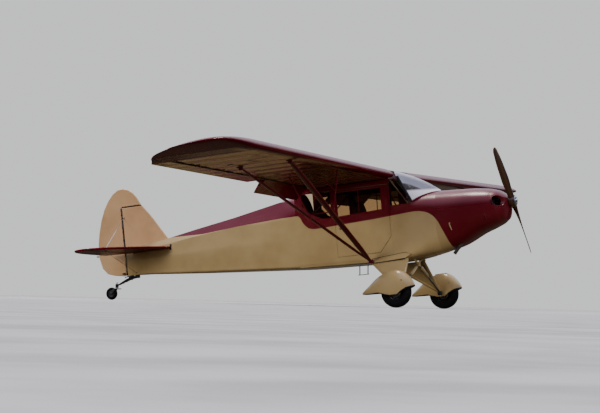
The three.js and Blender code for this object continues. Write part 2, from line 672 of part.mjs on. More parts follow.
// Tail: stabiliser and elevator outlines in x and y
const STABILISER = [
  [-3790, 0], [-3800, 120], ...smooth([[-3990, 560], [-4160, 900], [-4330, 1180], [-4470, 1345],
    [ELEVATOR_HINGE_X + 22, 1412]], 10), [ELEVATOR_HINGE_X + 22, 0],
];
const ELEVATOR_HALF = [
  [ELEVATOR_HINGE_X + 4, 82], ...smooth([[ELEVATOR_HINGE_X + 4, 1432], [-4700, 1440], [-4830, 1385],
    [-4930, 1230], [-4990, 980], [-5015, 640], [-5018, 215]], 14), [-4800, 150],
];
const stabiliser = cut(lying(STABILISER, 34, STABILISER_Z, 7), rearBody(GAP));
for (const [name, place] of pieces) {
  add(`stabiliser_${name}`, place(stabiliser), PAINT.maroon);
}
const elevatorHalf = lying(ELEVATOR_HALF, 30, STABILISER_Z, 6);
add('elevator', join(elevatorHalf, mirrorY(elevatorHalf), tubeAlong(TUBE_RADIUS, 120)), PAINT.maroon);

// Tail bracing wires: upper ends on the fin, lower ends on the fuselage
const wireOuter = (dz) => point(-4560, 950, STABILISER_Z + dz);
const stabiliserKeepOut = lying(STABILISER, 34 + 2 * GAP, STABILISER_Z);
const wires = {
  upper: rod(point(-4745, 20, 470), wireOuter(20), 3.5, 6),
  lower: rod(point(-4557, 30, -420), wireOuter(-20), 3.5, 6),
};
for (const [name, place] of pieces) {
  add(`tail_wire_upper_${name}`, place(cut(wires.upper, stabiliserKeepOut)), PAINT.steel);
  add(`tail_wire_lower_${name}`, place(cut(wires.lower, stabiliserKeepOut, rearBody(GAP))), PAINT.steel);
}

// Main landing gear
const LEG = {
  front: point(150, 322, -700), rear: point(-425, 322, -712), axle: point(WHEEL.x, 762, -1156),
};

function gearLeg() {
  const corners = [LEG.front, LEG.rear, LEG.axle];
  const web = loft([-7, 7].map((off) => corners.map((p) => p.clone().add(point(0, off, off)))));
  const axle = rod(point(WHEEL.x, 750, WHEEL.z), point(WHEEL.x, WHEEL.y + 84, WHEEL.z), 16, 16);
  const knuckle = box(WHEEL.x - 26, WHEEL.x + 26, 742, 786, WHEEL.z - 22, WHEEL.z + 40);
  return join(
    strut(LEG.front, LEG.axle, 52, 34), strut(LEG.rear, LEG.axle, 44, 28), web, axle, knuckle,
    rod(LEG.front.clone().add(point(0, 0, 30)), LEG.front.clone(), 16),
    rod(LEG.rear.clone().add(point(0, 0, 34)), LEG.rear.clone(), 16),
  );
}

const CABANE = { x: 130, z: -738 };
const bodyKeepOut = join(bootHull(-GAP, CABIN.post, CABIN.front), cabinHull(-GAP, CABIN.rear, CABIN.post));
const leg = cut(gearLeg(), bodyKeepOut);
const cabane = cut(join(
  rod(point(CABANE.x, -210, -660), point(CABANE.x, 0, CABANE.z), 14),
  rod(point(CABANE.x, 210, -660), point(CABANE.x, 0, CABANE.z), 14),
  box(CABANE.x - 24, CABANE.x + 24, -30, 30, CABANE.z - 44, CABANE.z + 20),
), bodyKeepOut);
add('gear_cabane', cabane, PAINT.cream);
const shockStrut = cut(
  join(
    rod(point(CABANE.x, 10, CABANE.z - 16), point(WHEEL.x, 760, WHEEL.z + 20), 12),
    rod(point(CABANE.x, 90, CABANE.z - 58), point(CABANE.x, 330, CABANE.z - 182), 28, 12),
  ),
  box(CABANE.x - 40, CABANE.x + 40, -40, 30 + GAP, CABANE.z - 60, CABANE.z + 60),
  box(WHEEL.x - 60, WHEEL.x + 60, 742 - GAP, 900, WHEEL.z - 80, WHEEL.z + 80),
  leg, leg.translate([0, -GAP, -GAP]),
);
for (const [name, place] of pieces) {
  add(`gear_leg_${name}`, place(leg), PAINT.cream);
  add(`shock_strut_${name}`, place(shockStrut), PAINT.cream);
}

// Wheel spats: x, half width, top, bottom of the full body before it is opened below
const SPAT = [
  [-382, 8, -1142, -1162],
  [-260, 60, -1052, -1190],
  [-130, 98, -952, -1260],
  [20, 122, -886, -1330],
  [150, 128, -868, -1350],
  [270, 118, -906, -1320],
  [360, 88, -992, -1240],
  [408, 40, -1070, -1150],
];

function spatHull(inset) {
  return loft(SPAT.map(([x, halfWidth, top, bottom], i) => {
    const end = i === 0 ? inset * 3 : (i === SPAT.length - 1 ? -inset : 0);
    return bodyRing(x + end, {
      halfWidth: Math.max(halfWidth, 9), high: (top + bottom) / 2 + 1, crown: top, highPower: 2.3,
      low: (top + bottom) / 2, belly: bottom, lowPower: 2.3,
    }, Math.min(inset, halfWidth * 0.6), 8);
  }));
}

const SPAT_EDGE = [
  [-420, -1166], [-131, -1166], [-60, -1196], [20, -1214], [150, -1210], [212, -1156],
  [300, -1124], [440, -1102], [440, -1500], [-420, -1500],
];
const spat = cut(
  spatHull(0), spatHull(6), upright(SPAT_EDGE, 400, 0, 0),
  rod(point(WHEEL.x, -140, WHEEL.z), point(WHEEL.x, 140, WHEEL.z), 16 + GAP, 16),
).translate([0, WHEEL.y, 0]);

// Wheels: tyre and rim are turned about the axle
function turned(profile, x, y, z, segments) {
  const geometry = new THREE.LatheGeometry(profile.map(([r, v]) => new THREE.Vector2(r, v)), segments);
  return toSolid(geometry.translate(x, y, z));
}

function tyreProfile(radius, inner, halfWidth) {
  const low = inner + GAP;
  const waist = (radius + inner) / 2;
  return [[low, -halfWidth * 0.62], [waist, -halfWidth], [radius - 22, -halfWidth * 0.86],
    [radius, -halfWidth * 0.34], [radius, halfWidth * 0.34], [radius - 22, halfWidth * 0.86],
    [waist, halfWidth], [low, halfWidth * 0.62], [low, -halfWidth * 0.62]];
}
const rimProfile = (radius, bore, halfWidth) => [
  [bore, -halfWidth * 0.5], [radius * 0.6, -halfWidth * 0.4], [radius, -halfWidth * 0.66],
  [radius, halfWidth * 0.66], [radius * 0.6, halfWidth * 0.4], [bore, halfWidth * 0.5],
  [bore, -halfWidth * 0.5],
];
const tyre = turned(tyreProfile(WHEEL.radius, WHEEL.rim, WHEEL.halfWidth), WHEEL.x, WHEEL.y, WHEEL.z, 36);
const rim = turned(rimProfile(WHEEL.rim, 16.6, WHEEL.halfWidth), WHEEL.x, WHEEL.y, WHEEL.z, 36);
for (const [name, place] of pieces) {
  add(`wheel_spat_${name}`, place(spat), PAINT.cream);
  add(`tyre_${name}`, place(tyre), PAINT.black);
  add(`wheel_rim_${name}`, place(rim), PAINT.steel);
}

// Tail wheel: leaf spring, swivelling fork and wheel
const SPRING = [[-4440, -458], [-4600, -458], [-4740, -470], [-4860, -520], [-4945, -572]];

function leafSpring() {
  const path = smooth(SPRING, 8);
  return loft(path.map(([x, z]) => [[-7, -26], [7, -26], [7, 26], [-7, 26]].map(
    ([up, y]) => point(x + up * 0.2, y, z + up),
  )));
}
const SWIVEL = { x: -4960, z: -572, pin: 12 };
const socket = cut(
  rod(point(SWIVEL.x, 0, SWIVEL.z - 17), point(SWIVEL.x, 0, SWIVEL.z + 24), 24, 20),
  rod(point(SWIVEL.x, 0, SWIVEL.z - 30), point(SWIVEL.x, 0, SWIVEL.z + 30), SWIVEL.pin + 0.5, 20),
);
const springBlade = cut(leafSpring(), rearBody(GAP), rod(
  point(SWIVEL.x, 0, SWIVEL.z - 60), point(SWIVEL.x, 0, SWIVEL.z + 60), 20, 20,
));
add('tail_spring', join(springBlade, socket), PAINT.grey);

function tailFork() {
  const arm = (y) => strut(
    point(SWIVEL.x - 4, y, SWIVEL.z - 26), point(TAIL_WHEEL.x, y, TAIL_WHEEL.z), 40, 9, 8,
  );
  const head = rod(point(SWIVEL.x, 0, SWIVEL.z - 22), point(SWIVEL.x, 0, SWIVEL.z + 30), SWIVEL.pin, 16);
  const crown = box(SWIVEL.x - 22, SWIVEL.x + 22, -42, 42, SWIVEL.z - 34, SWIVEL.z - 18);
  const axle = rod(point(TAIL_WHEEL.x, -44, TAIL_WHEEL.z), point(TAIL_WHEEL.x, 44, TAIL_WHEEL.z), 8, 12);
  return join(arm(37), arm(-37), head, crown, axle);
}
add('tail_fork', tailFork(), PAINT.grey);
const tailTyre = join(
  turned(tyreProfile(TAIL_WHEEL.radius, 48, TAIL_WHEEL.halfWidth), TAIL_WHEEL.x, 0, TAIL_WHEEL.z, 22),
  turned(rimProfile(49, 8.6, TAIL_WHEEL.halfWidth), TAIL_WHEEL.x, 0, TAIL_WHEEL.z, 22),
);
add('tail_wheel', tailTyre, PAINT.black);

// Boarding step behind the starboard leg
const STEP = { rear: -652, front: -520, y: -352, top: -640, tread: -842 };
const boardingStep = cut(join(
  rod(point(STEP.rear, STEP.y + 30, STEP.top), point(STEP.rear, STEP.y - 8, STEP.tread), 7, 8),
  rod(point(STEP.front, STEP.y + 30, STEP.top), point(STEP.front, STEP.y - 8, STEP.tread), 7, 8),
  box(STEP.rear - 12, STEP.front + 12, STEP.y - 22, STEP.y + 12, STEP.tread - 8, STEP.tread + 3),
), bodyKeepOut);
add('boarding_step', boardingStep, PAINT.steel);

// Seats and stick
function seat(front, halfWidth, length, rise) {
  const deep = front - length;
  const cushion = [[front, -330], [front, -430], [deep - 40, -450], [deep - 150, 90 + rise],
    [deep - 95, 96 + rise], [deep, -350]];
  const legs = [];
  for (const y of [-halfWidth + 30, halfWidth - 30]) {
    for (const x of [front - 50, deep + 10]) {
      const floorZ = between(BELLY, x, 1) + CABIN.wall / 2;
      legs.push(rod(point(x, y, floorZ), point(x, y, -400), 13, 8));
    }
  }
  return cut(join(upright(cushion, 2 * halfWidth, 0, 12), ...legs), cabinFloor.translate([0, 0, GAP]));
}
add('front_seat', seat(-210, 215, 400, 0), PAINT.leather);
add('rear_seat', seat(-1060, 285, 360, 20), PAINT.leather);
add('control_stick', rod(point(-60, 0, between(BELLY, -60, 1) + 13), point(-90, 0, -250), 11), PAINT.black);

// Parked stance: nose up until main and tail wheels stand on one floor
const rise = { x: WHEEL.x - TAIL_WHEEL.x, z: WHEEL.z - TAIL_WHEEL.z };
const PARKED_PITCH = Math.asin((WHEEL.radius - TAIL_WHEEL.radius) / Math.hypot(rise.x, rise.z))
  - Math.atan2(rise.z, rise.x);
level.rotation.y = -PARKED_PITCH;
const aircraft = new THREE.Group();
aircraft.add(level);
const bounds = new THREE.Box3().setFromObject(aircraft, true);
level.position.x = -(bounds.min.x + bounds.max.x) / 2;
level.position.z = -bounds.min.z;

export default aircraft;
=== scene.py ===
"""A three-seat strutted light aircraft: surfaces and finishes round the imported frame.

Shapes are worked out in level-flight metres (x forward of the wing root's leading edge,
y to port, z above the propeller shaft) and are then parked on the three wheels.
"""
import json
import logging
from dataclasses import dataclass
from enum import Enum
from typing import Iterable, Sequence

import bpy
import numpy as np
from mathutils import Matrix, Vector


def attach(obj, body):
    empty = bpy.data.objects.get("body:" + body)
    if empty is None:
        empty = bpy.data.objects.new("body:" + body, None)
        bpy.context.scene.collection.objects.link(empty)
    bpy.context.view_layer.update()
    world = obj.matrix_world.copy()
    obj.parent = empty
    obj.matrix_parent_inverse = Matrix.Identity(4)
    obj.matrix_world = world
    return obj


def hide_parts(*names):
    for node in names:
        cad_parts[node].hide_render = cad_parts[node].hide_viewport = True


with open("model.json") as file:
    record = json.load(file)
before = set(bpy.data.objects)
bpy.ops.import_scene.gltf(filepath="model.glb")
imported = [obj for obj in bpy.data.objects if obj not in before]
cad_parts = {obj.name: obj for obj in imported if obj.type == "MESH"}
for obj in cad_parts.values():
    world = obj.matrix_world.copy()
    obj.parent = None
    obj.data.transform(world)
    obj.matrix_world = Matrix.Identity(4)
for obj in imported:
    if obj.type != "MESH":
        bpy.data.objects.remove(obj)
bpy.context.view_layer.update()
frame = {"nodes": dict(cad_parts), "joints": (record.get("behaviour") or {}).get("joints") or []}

LOG = logging.getLogger("aircraft")
SIDES = (("left", 1.0), ("right", -1.0))


class Body(Enum):
    """The bodies that pieces ride on."""

    AIRFRAME = "airframe"
    DOOR = "door_body"
    PROPELLER = "propeller_body"
    WHEEL_LEFT = "wheel_left_body"
    WHEEL_RIGHT = "wheel_right_body"
    TAIL_FORK = "tail_fork_body"
    TAIL_WHEEL = "tail_wheel_body"
    AILERON_LEFT = "aileron_left_body"
    AILERON_RIGHT = "aileron_right_body"
    FLAP_LEFT = "flap_left_body"
    FLAP_RIGHT = "flap_right_body"
    ELEVATOR = "elevator_body"
    RUDDER = "rudder_body"


class Slot(Enum):
    """The record's material slots."""

    MAROON = "maroon_paint"
    CREAM = "cream_paint"
    GLASS = "glazing"
    STEEL = "bare_steel"
    DARK_STEEL = "dark_steel"
    ENGINE = "engine_metal"
    WHEEL = "wheel_metal"
    TYRE = "tyre_rubber"
    PANEL = "panel_black"
    LEATHER = "seat_leather"
    WOOD = "varnished_wood"


# Stance

@dataclass(frozen=True)
class Stance:
    """Parks level-flight places: a turn by pitch about Y, then a shift along X and Z."""

    cosine: float
    sine: float
    shift_x: float
    shift_z: float

    @classmethod
    def from_joints(cls, joints: list[dict]) -> "Stance":
        """Reads the stance from the propeller's axis and the left wheel's place.

        Args:
            joints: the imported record's joints.

        Returns:
            The stance in which the propeller's axis is level flight's X.
        """
        by_name = {joint["name"]: joint for joint in joints}
        axis = by_name["propeller_spin"]["axis"]
        wheel = by_name["wheel_left_spin"]["pos_m"]
        length = float(np.hypot(axis[0], axis[2]))
        cosine, sine = axis[0] / length, axis[2] / length
        level_x, level_z = MainGear.WHEEL_X, MainGear.WHEEL_Z
        return cls(
            cosine, sine,
            wheel[0] - (level_x * cosine - level_z * sine),
            wheel[2] - (level_x * sine + level_z * cosine),
        )

    def turn(self, vectors: np.ndarray) -> np.ndarray:
        """Turns level-flight directions into the parked frame.

        Args:
            vectors: an array whose last axis is x, y, z.

        Returns:
            The turned directions.
        """
        x, y, z = vectors[..., 0], vectors[..., 1], vectors[..., 2]
        return np.stack(
            [x * self.cosine - z * self.sine, y, x * self.sine + z * self.cosine], axis=-1,
        )

    def park(self, points: np.ndarray) -> np.ndarray:
        """Moves level-flight places into the parked frame.

        Args:
            points: an array whose last axis is x, y, z.

        Returns:
            The parked places.
        """
        return self.turn(points) + np.array([self.shift_x, 0.0, self.shift_z])


# Curves and surfaces

def unit(vector: np.ndarray) -> np.ndarray:
    """One vector at length one."""
    return vector / np.linalg.norm(vector)


def units(vectors: np.ndarray) -> np.ndarray:
    """Each vector of an array at length one, and nought where it has no length."""
    return vectors / np.maximum(np.linalg.norm(vectors, axis=-1, keepdims=True), 1e-9)


def turns(count: int) -> np.ndarray:
    """Even angles round a circle."""
    return np.arange(count) * 2 * np.pi / count


def hermite(
    t: np.ndarray, width: np.ndarray, start: np.ndarray, rise: np.ndarray, end: np.ndarray,
    fall: np.ndarray,
) -> np.ndarray:
    """Cubic over a span: (2t^3 - 3t^2 + 1) start + (t^3 - 2t^2 + t) width rise
    + (3t^2 - 2t^3) end + (t^3 - t^2) width fall.

    Args:
        t: share of the span, from 0 to 1.
        width: of the span.
        start: value at its start.
        rise: slope at its start.
        end: value at its end.
        fall: slope at its end.

    Returns:
        The cubic's values.
    """
    return (
        (2 * t**3 - 3 * t**2 + 1) * start + (t**3 - 2 * t**2 + t) * width * rise
        + (3 * t**2 - 2 * t**3) * end + (t**3 - t**2) * width * fall
    )


def smooth_between(x: np.ndarray, knots: Sequence[float], values: Sequence[float]) -> np.ndarray:
    """Cubic curve through a table: each span is a Hermite cubic whose end slopes are the
    weighted means of the two chords beside each knot, or nought at a turning point.

    Args:
        x: where the curve is wanted.
        knots: rising places of the table's rows.
        values: the table's values there.

    Returns:
        The curve's values at x.
    """
    knots, values = np.asarray(knots, float), np.asarray(values, float)
    width = np.diff(knots)
    chord = np.diff(values) / width
    slope = np.zeros_like(values)
    before, after = chord[:-1], chord[1:]
    same_way = before * after > 0
    mean = (before * width[1:] + after * width[:-1]) / (width[1:] + width[:-1])
    slope[1:-1] = np.where(same_way, mean, 0.0)
    slope[0], slope[-1] = chord[0], chord[-1]
    at = np.clip(np.asarray(x, float), knots[0], knots[-1])
    span = np.clip(np.searchsorted(knots, at, side="right") - 1, 0, len(width) - 1)
    t = (at - knots[span]) / width[span]
    return hermite(t, width[span], values[span], slope[span], values[span + 1], slope[span + 1])


def curve_through(points: Sequence[Sequence[float]], count: int) -> np.ndarray:
    """Smooth open curve through a few points, by chord length.

    Args:
        points: places with two or three coordinates.
        count: how many points the curve gets.

    Returns:
        An array of count places.
    """
    corners = np.asarray(points, float)
    steps = np.linalg.norm(np.diff(corners, axis=0), axis=1)
    reach = np.concatenate([[0.0], np.cumsum(steps)])
    at = np.linspace(0.0, reach[-1], count)
    chord = np.diff(corners, axis=0) / steps[:, None]
    slope = np.zeros_like(corners)
    slope[1:-1] = (chord[:-1] * steps[1:, None] + chord[1:] * steps[:-1, None]) / (
        steps[1:, None] + steps[:-1, None]
    )
    slope[0], slope[-1] = chord[0], chord[-1]
    span = np.clip(np.searchsorted(reach, at, side="right") - 1, 0, len(steps) - 1)
    width = steps[span][:, None]
    t = (at[:, None] - reach[span][:, None]) / width
    return hermite(t, width, corners[span], slope[span], corners[span + 1], slope[span + 1])


def grid_quads(rows: int, columns: int, around: bool = False) -> np.ndarray:
    """Quads of a grid of points numbered row by row.

    Args:
        rows: number of rows.
        columns: number of points in a row.
        around: whether each row closes on itself.

    Returns:
        An array of four corner numbers a quad.
    """
    r, c = np.meshgrid(
        np.arange(rows - 1), np.arange(columns if around else columns - 1), indexing="ij",
    )
    ahead = (c + 1) % columns
    quads = [r * columns + c, r * columns + ahead, (r + 1) * columns + ahead, (r + 1) * columns + c]
    return np.stack(quads, axis=-1).reshape(-1, 4)


def ring_frame(path: np.ndarray, first: np.ndarray | None = None) -> tuple[np.ndarray, np.ndarray]:
    """Two directions across a path at each point, carried along without twist: each is the
    last one less its part along the path, made a unit again.

    Args:
        path: the path's points.
        first: a direction that the first of the two starts near.

    Returns:
        The two directions at each point.
    """
    along = units(np.gradient(path, axis=0))
    if first is None:
        first = np.eye(3)[int(np.argmin(np.abs(along[0])))]
    across = np.zeros_like(path)
    last = np.asarray(first, float)
    for i, way in enumerate(along):
        last = unit(last - way * (last @ way))
        across[i] = last
    return across, np.cross(along, across)


class Form:
    """Gathers closed surfaces, in level-flight metres, into one mesh."""

    def __init__(self) -> None:
        """Starts empty."""
        self.points: list[np.ndarray] = []
        self.quads: list[np.ndarray] = []
        self.corners: list[np.ndarray] = []
        self.looks: list[np.ndarray] = []
        self.count = 0

    def add(
        self, points: np.ndarray, quads: np.ndarray, corners: np.ndarray | None = None,
        look: int = 0,
    ) -> "Form":
        """Adds one closed surface and turns its faces outwards by the sign of its volume,
        which is a sixth of the sum of each triangle's triple product.

        Args:
            points: its places, in any grid shape.
            quads: corner numbers of its quads.
            corners: corner numbers of its triangles.
            look: number of its finish.

        Returns:
            This form.
        """
        flat = np.asarray(points, float).reshape(-1, 3)
        corners = np.zeros((0, 3), int) if corners is None else np.asarray(corners, int)
        triangles = np.concatenate([quads[:, [0, 1, 2]], quads[:, [0, 2, 3]], corners])
        local = flat - flat.mean(axis=0)
        a, b, c = (local[triangles[:, i]] for i in range(3))
        if float(np.einsum("ij,ij->i", a, np.cross(b, c)).sum()) < 0:
            quads, corners = quads[:, ::-1], corners[:, ::-1]
        self.points.append(flat)
        self.quads.append(quads + self.count)
        self.corners.append(corners + self.count)
        self.looks.append(np.full(len(quads), look))
        self.looks.append(np.full(len(corners), look))
        self.count += len(flat)
        return self

    def loft(self, rings: np.ndarray, look: int = 0, hubs: np.ndarray | None = None) -> "Form":
        """Closed body through rings of points, its two ends filled by fans.

        Args:
            rings: places as rings, points, xyz.
            look: number of its finish.
            hubs: middles of the two fans; the end rings' means if left out.

        Returns:
            This form.
        """
        count, size = rings.shape[:2]
        flat = rings.reshape(-1, 3)
        hubs = rings[[0, -1]].mean(axis=1) if hubs is None else hubs
        i = np.arange(size)
        ahead = (i + 1) % size
        end = (count - 1) * size
        fans = np.concatenate([
            np.stack([np.full(size, count * size), ahead, i], axis=1),
            np.stack([np.full(size, count * size + 1), end + i, end + ahead], axis=1),
        ])
        return self.add(np.concatenate([flat, hubs]), grid_quads(count, size, True), fans, look)

    def hoop(self, rings: np.ndarray, look: int = 0) -> "Form":
        """Closed body through rings that meet again, such as a tyre.

        Args:
            rings: places as rings, points, xyz.
            look: number of its finish.

        Returns:
            This form.
        """
        count, size = rings.shape[:2]
        quads = grid_quads(count + 1, size, True) % (count * size)
        return self.add(rings, quads, None, look)

    def sheet(self, points: np.ndarray, quads: np.ndarray, normal: np.ndarray, thickness: float,
              look: int = 0) -> "Form":
        """Closed sheet under open faces: the second face is each point less its normal times
        the thickness, and a wall joins the two along every edge that has one face.

        Args:
            points: places.
            quads: corner numbers of the open faces.
            normal: unit direction at each point, away from the second face.
            thickness: of the sheet.
            look: number of its finish.

        Returns:
            This form.
        """
        used, quads = np.unique(quads, return_inverse=True)
        quads = quads.reshape(-1, 4)
        upper = points[used]
        shift = len(used)
        edges = np.concatenate([quads[:, [i, (i + 1) % 4]] for i in range(4)])
        alone = ~np.isin(edges[:, 0] * shift + edges[:, 1], edges[:, 1] * shift + edges[:, 0])
        start, end = edges[alone].T
        wall = np.stack([end, start, start + shift, end + shift], axis=1)
        both = np.concatenate([upper, upper - normal[used] * thickness])
        return self.add(both, np.concatenate([quads, quads[:, ::-1] + shift, wall]), None, look)

    def shell(self, grid: np.ndarray, thickness: float, look: int = 0) -> "Form":
        """Closed sheet under a grid, whose normals are the cross products of its two slopes.

        Args:
            grid: places as rows, points, xyz.
            thickness: of the sheet.
            look: number of its finish.

        Returns:
            This form.
        """
        normal = units(np.cross(np.gradient(grid, axis=1), np.gradient(grid, axis=0)))
        faces = grid_quads(*grid.shape[:2])
        return self.sheet(grid.reshape(-1, 3), faces, normal.reshape(-1, 3), thickness, look)

    def tube(
        self, path: Sequence, radius: float | np.ndarray, sides: int = 14, look: int = 0,
        flat: float = 1.0, first: Sequence[float] | None = None,
    ) -> "Form":
        """Round or oval bar along a path.

        Args:
            path: its points.
            radius: one radius, or one for each point.
            sides: points round it.
            look: number of its finish.
            flat: the second direction's share of the radius.
            first: the direction that the full radius lies near.

        Returns:
            This form.
        """
        line = np.asarray(path, float)
        across, up = ring_frame(line, None if first is None else np.asarray(first, float))
        turn = turns(sides)
        size = np.broadcast_to(np.asarray(radius, float), (len(line),))[:, None, None]
        ring = (
            across[:, None] * np.cos(turn)[None, :, None]
            + up[:, None] * np.sin(turn)[None, :, None] * flat
        )
        return self.loft(line[:, None] + ring * size, look)

    def fairing(
        self, start: Sequence[float], end: Sequence[float], chord: float | np.ndarray,
        thick: float | np.ndarray, look: int = 0, steps: int = 10, forward: Sequence[float] = (1, 0, 0),
    ) -> "Form":
        """Streamlined bar: at turn t its section lies at chord/2 (cos t) along the flow and
        thick/2 sin t (1 - 0.34 (1 - cos t) / 2) across it, so the tail is the slimmer end.

        Args:
            start: middle of one end.
            end: middle of the other.
            chord: length of the section, or one for each step.
            thick: thickness of the section, or one for each step.
            look: number of its finish.
            steps: rings along it.
            forward: way in which the section points.

        Returns:
            This form.
        """
        start, end = np.asarray(start, float), np.asarray(end, float)
        line = start + (end - start) * np.linspace(0, 1, steps)[:, None]
        along = unit(end - start)
        ahead = np.asarray(forward, float)
        ahead = unit(ahead - along * (ahead @ along))
        side = np.cross(along, ahead)
        turn = turns(28)
        slim = 1 - 0.34 * (1 - np.cos(turn)) / 2
        chord = np.broadcast_to(np.asarray(chord, float), (steps,))[:, None, None]
        thick = np.broadcast_to(np.asarray(thick, float), (steps,))[:, None, None]
        ring = (
            ahead * np.cos(turn)[None, :, None] * chord / 2
            + side * (np.sin(turn) * slim)[None, :, None] * thick / 2
        )
        return self.loft(line[:, None] + ring, look)

    def lathe(
        self, profile: Sequence[Sequence[float]], centre: Sequence[float], axis: Sequence[float],
        sides: int = 40, look: int = 0, closed: bool = False,
    ) -> "Form":
        """Turned body: each profile point is a radius and a distance along the axis.

        Args:
            profile: radius and distance along the axis, point by point.
            centre: place of distance nought.
            axis: the direction of the axis.
            sides: points round it.
            look: number of its finish.
            closed: whether the profile is a loop, as a tyre's is.

        Returns:
            This form.
        """
        table = np.asarray(profile, float)
        way = unit(np.asarray(axis, float))
        first = np.eye(3)[int(np.argmin(np.abs(way)))]
        u = unit(np.cross(way, first))
        v = np.cross(way, u)
        turn = turns(sides)
        round_ = u * np.cos(turn)[:, None] + v * np.sin(turn)[:, None]
        middle = np.asarray(centre, float)
        if closed:
            rings = (
                middle + way * table[None, :, 1, None]
                + round_[:, None] * table[None, :, 0, None]
            )
            return self.hoop(rings, look)
        rings = middle + way * table[:, None, 1, None] + round_[None] * table[:, None, 0, None]
        return self.loft(rings, look)

    def pad(
        self, centre: Sequence[float], half: Sequence[float], power: float = 5.0, look: int = 0,
        axes: np.ndarray | None = None, rows: int = 14, columns: int = 28,
    ) -> "Form":
        """Block with rounded edges, a superellipsoid: each coordinate is its half size times
        the signed cosine or sine raised to 2 over the power.

        Args:
            centre: its middle.
            half: half sizes along its three axes.
            power: 2 gives an egg, more gives a squarer block.
            look: number of its finish.
            axes: rows are its three unit directions.
            rows: rings from pole to pole.
            columns: points round it.

        Returns:
            This form.
        """
        def bend(value: np.ndarray) -> np.ndarray:
            """Signed power of a cosine or sine."""
            return np.sign(value) * np.abs(value) ** (2 / power)

        tilt = np.linspace(-np.pi / 2, np.pi / 2, rows)[1:-1][:, None]
        turn = turns(columns)[None, :]
        local = np.stack([
            bend(np.cos(tilt)) * bend(np.cos(turn)) * half[0],
            bend(np.cos(tilt)) * bend(np.sin(turn)) * half[1],
            bend(np.sin(tilt)) * np.ones_like(turn) * half[2],
        ], axis=-1)
        poles = np.array([[0, 0, -half[2]], [0, 0, half[2]]], float)
        ways = np.eye(3) if axes is None else np.asarray(axes, float)
        middle = np.asarray(centre, float)
        return self.loft(local @ ways + middle, look, poles @ ways + middle)

    def bolt(self, place: Sequence[float], axis: Sequence[float], size: float, look: int = 0) -> "Form":
        """Six-sided bolt head on a washer.

        Args:
            place: middle of its seat.
            axis: way in which it stands out.
            size: half the head's width.
            look: number of its finish.

        Returns:
            This form.
        """
        washer = [(0.2 * size, -0.2 * size), (1.5 * size, -0.2 * size), (1.5 * size, 0.22 * size),
                  (0.2 * size, 0.26 * size)]
        head = [(0.3 * size, 0.1 * size), (size, 0.1 * size), (size, 0.8 * size),
                (0.8 * size, 0.95 * size), (0.2 * size, 0.97 * size)]
        self.lathe(washer, place, axis, 18, look)
        return self.lathe(head, place, axis, 6, look)

    def merge(self, other: "Form", side: float = 1.0, look: int = 0) -> "Form":
        """Adds a copy of another form, mirrored in Y where side is -1.

        Args:
            other: the form that is copied.
            side: 1 or -1.
            look: added to the numbers of its finishes.

        Returns:
            This form.
        """
        flip = side < 0
        scale = np.array([1.0, side, 1.0])
        looks = iter(other.looks)
        for points in other.points:
            self.points.append(points * scale)
        for quads, corners in zip(other.quads, other.corners):
            self.quads.append((quads[:, ::-1] if flip else quads) + self.count)
            self.corners.append((corners[:, ::-1] if flip else corners) + self.count)
            self.looks.append(next(looks) + look)
            self.looks.append(next(looks) + look)
        self.count += other.count
        return self

    def mesh(self, name: str, stance: Stance, sharp: float = 34.0) -> bpy.types.Mesh:
        """Makes the parked mesh, smooth but for edges sharper than an angle.

        Args:
            name: of the mesh.
            stance: which parks it.
            sharp: angle, in degrees, from which an edge stays crisp.

        Returns:
            The new mesh.
        """
        quads, corners = np.concatenate(self.quads), np.concatenate(self.corners)
        looks = np.concatenate(self.looks[0::2] + self.looks[1::2])
        parked = stance.park(np.concatenate(self.points))
        sizes = np.concatenate([np.full(len(quads), 4), np.full(len(corners), 3)])
        loops = np.concatenate([quads.ravel(), corners.ravel()]).astype(np.int32)
        mesh = bpy.data.meshes.new(name)
        mesh.vertices.add(len(parked))
        mesh.vertices.foreach_set("co", parked.astype(np.float32).ravel())
        mesh.loops.add(len(loops))
        mesh.loops.foreach_set("vertex_index", loops)
        mesh.polygons.add(len(sizes))
        starts = np.concatenate([[0], np.cumsum(sizes)[:-1]]).astype(np.int32)
        mesh.polygons.foreach_set("loop_start", starts)
        mesh.polygons.foreach_set("material_index", looks.astype(np.int32))
        mesh.update(calc_edges=True)
        mesh.validate()
        mesh.shade_smooth()
        mesh.set_sharp_from_angle(angle=np.radians(sharp))
        return mesh


# Shaders

Feed = bpy.types.NodeSocket | float | Sequence[float]


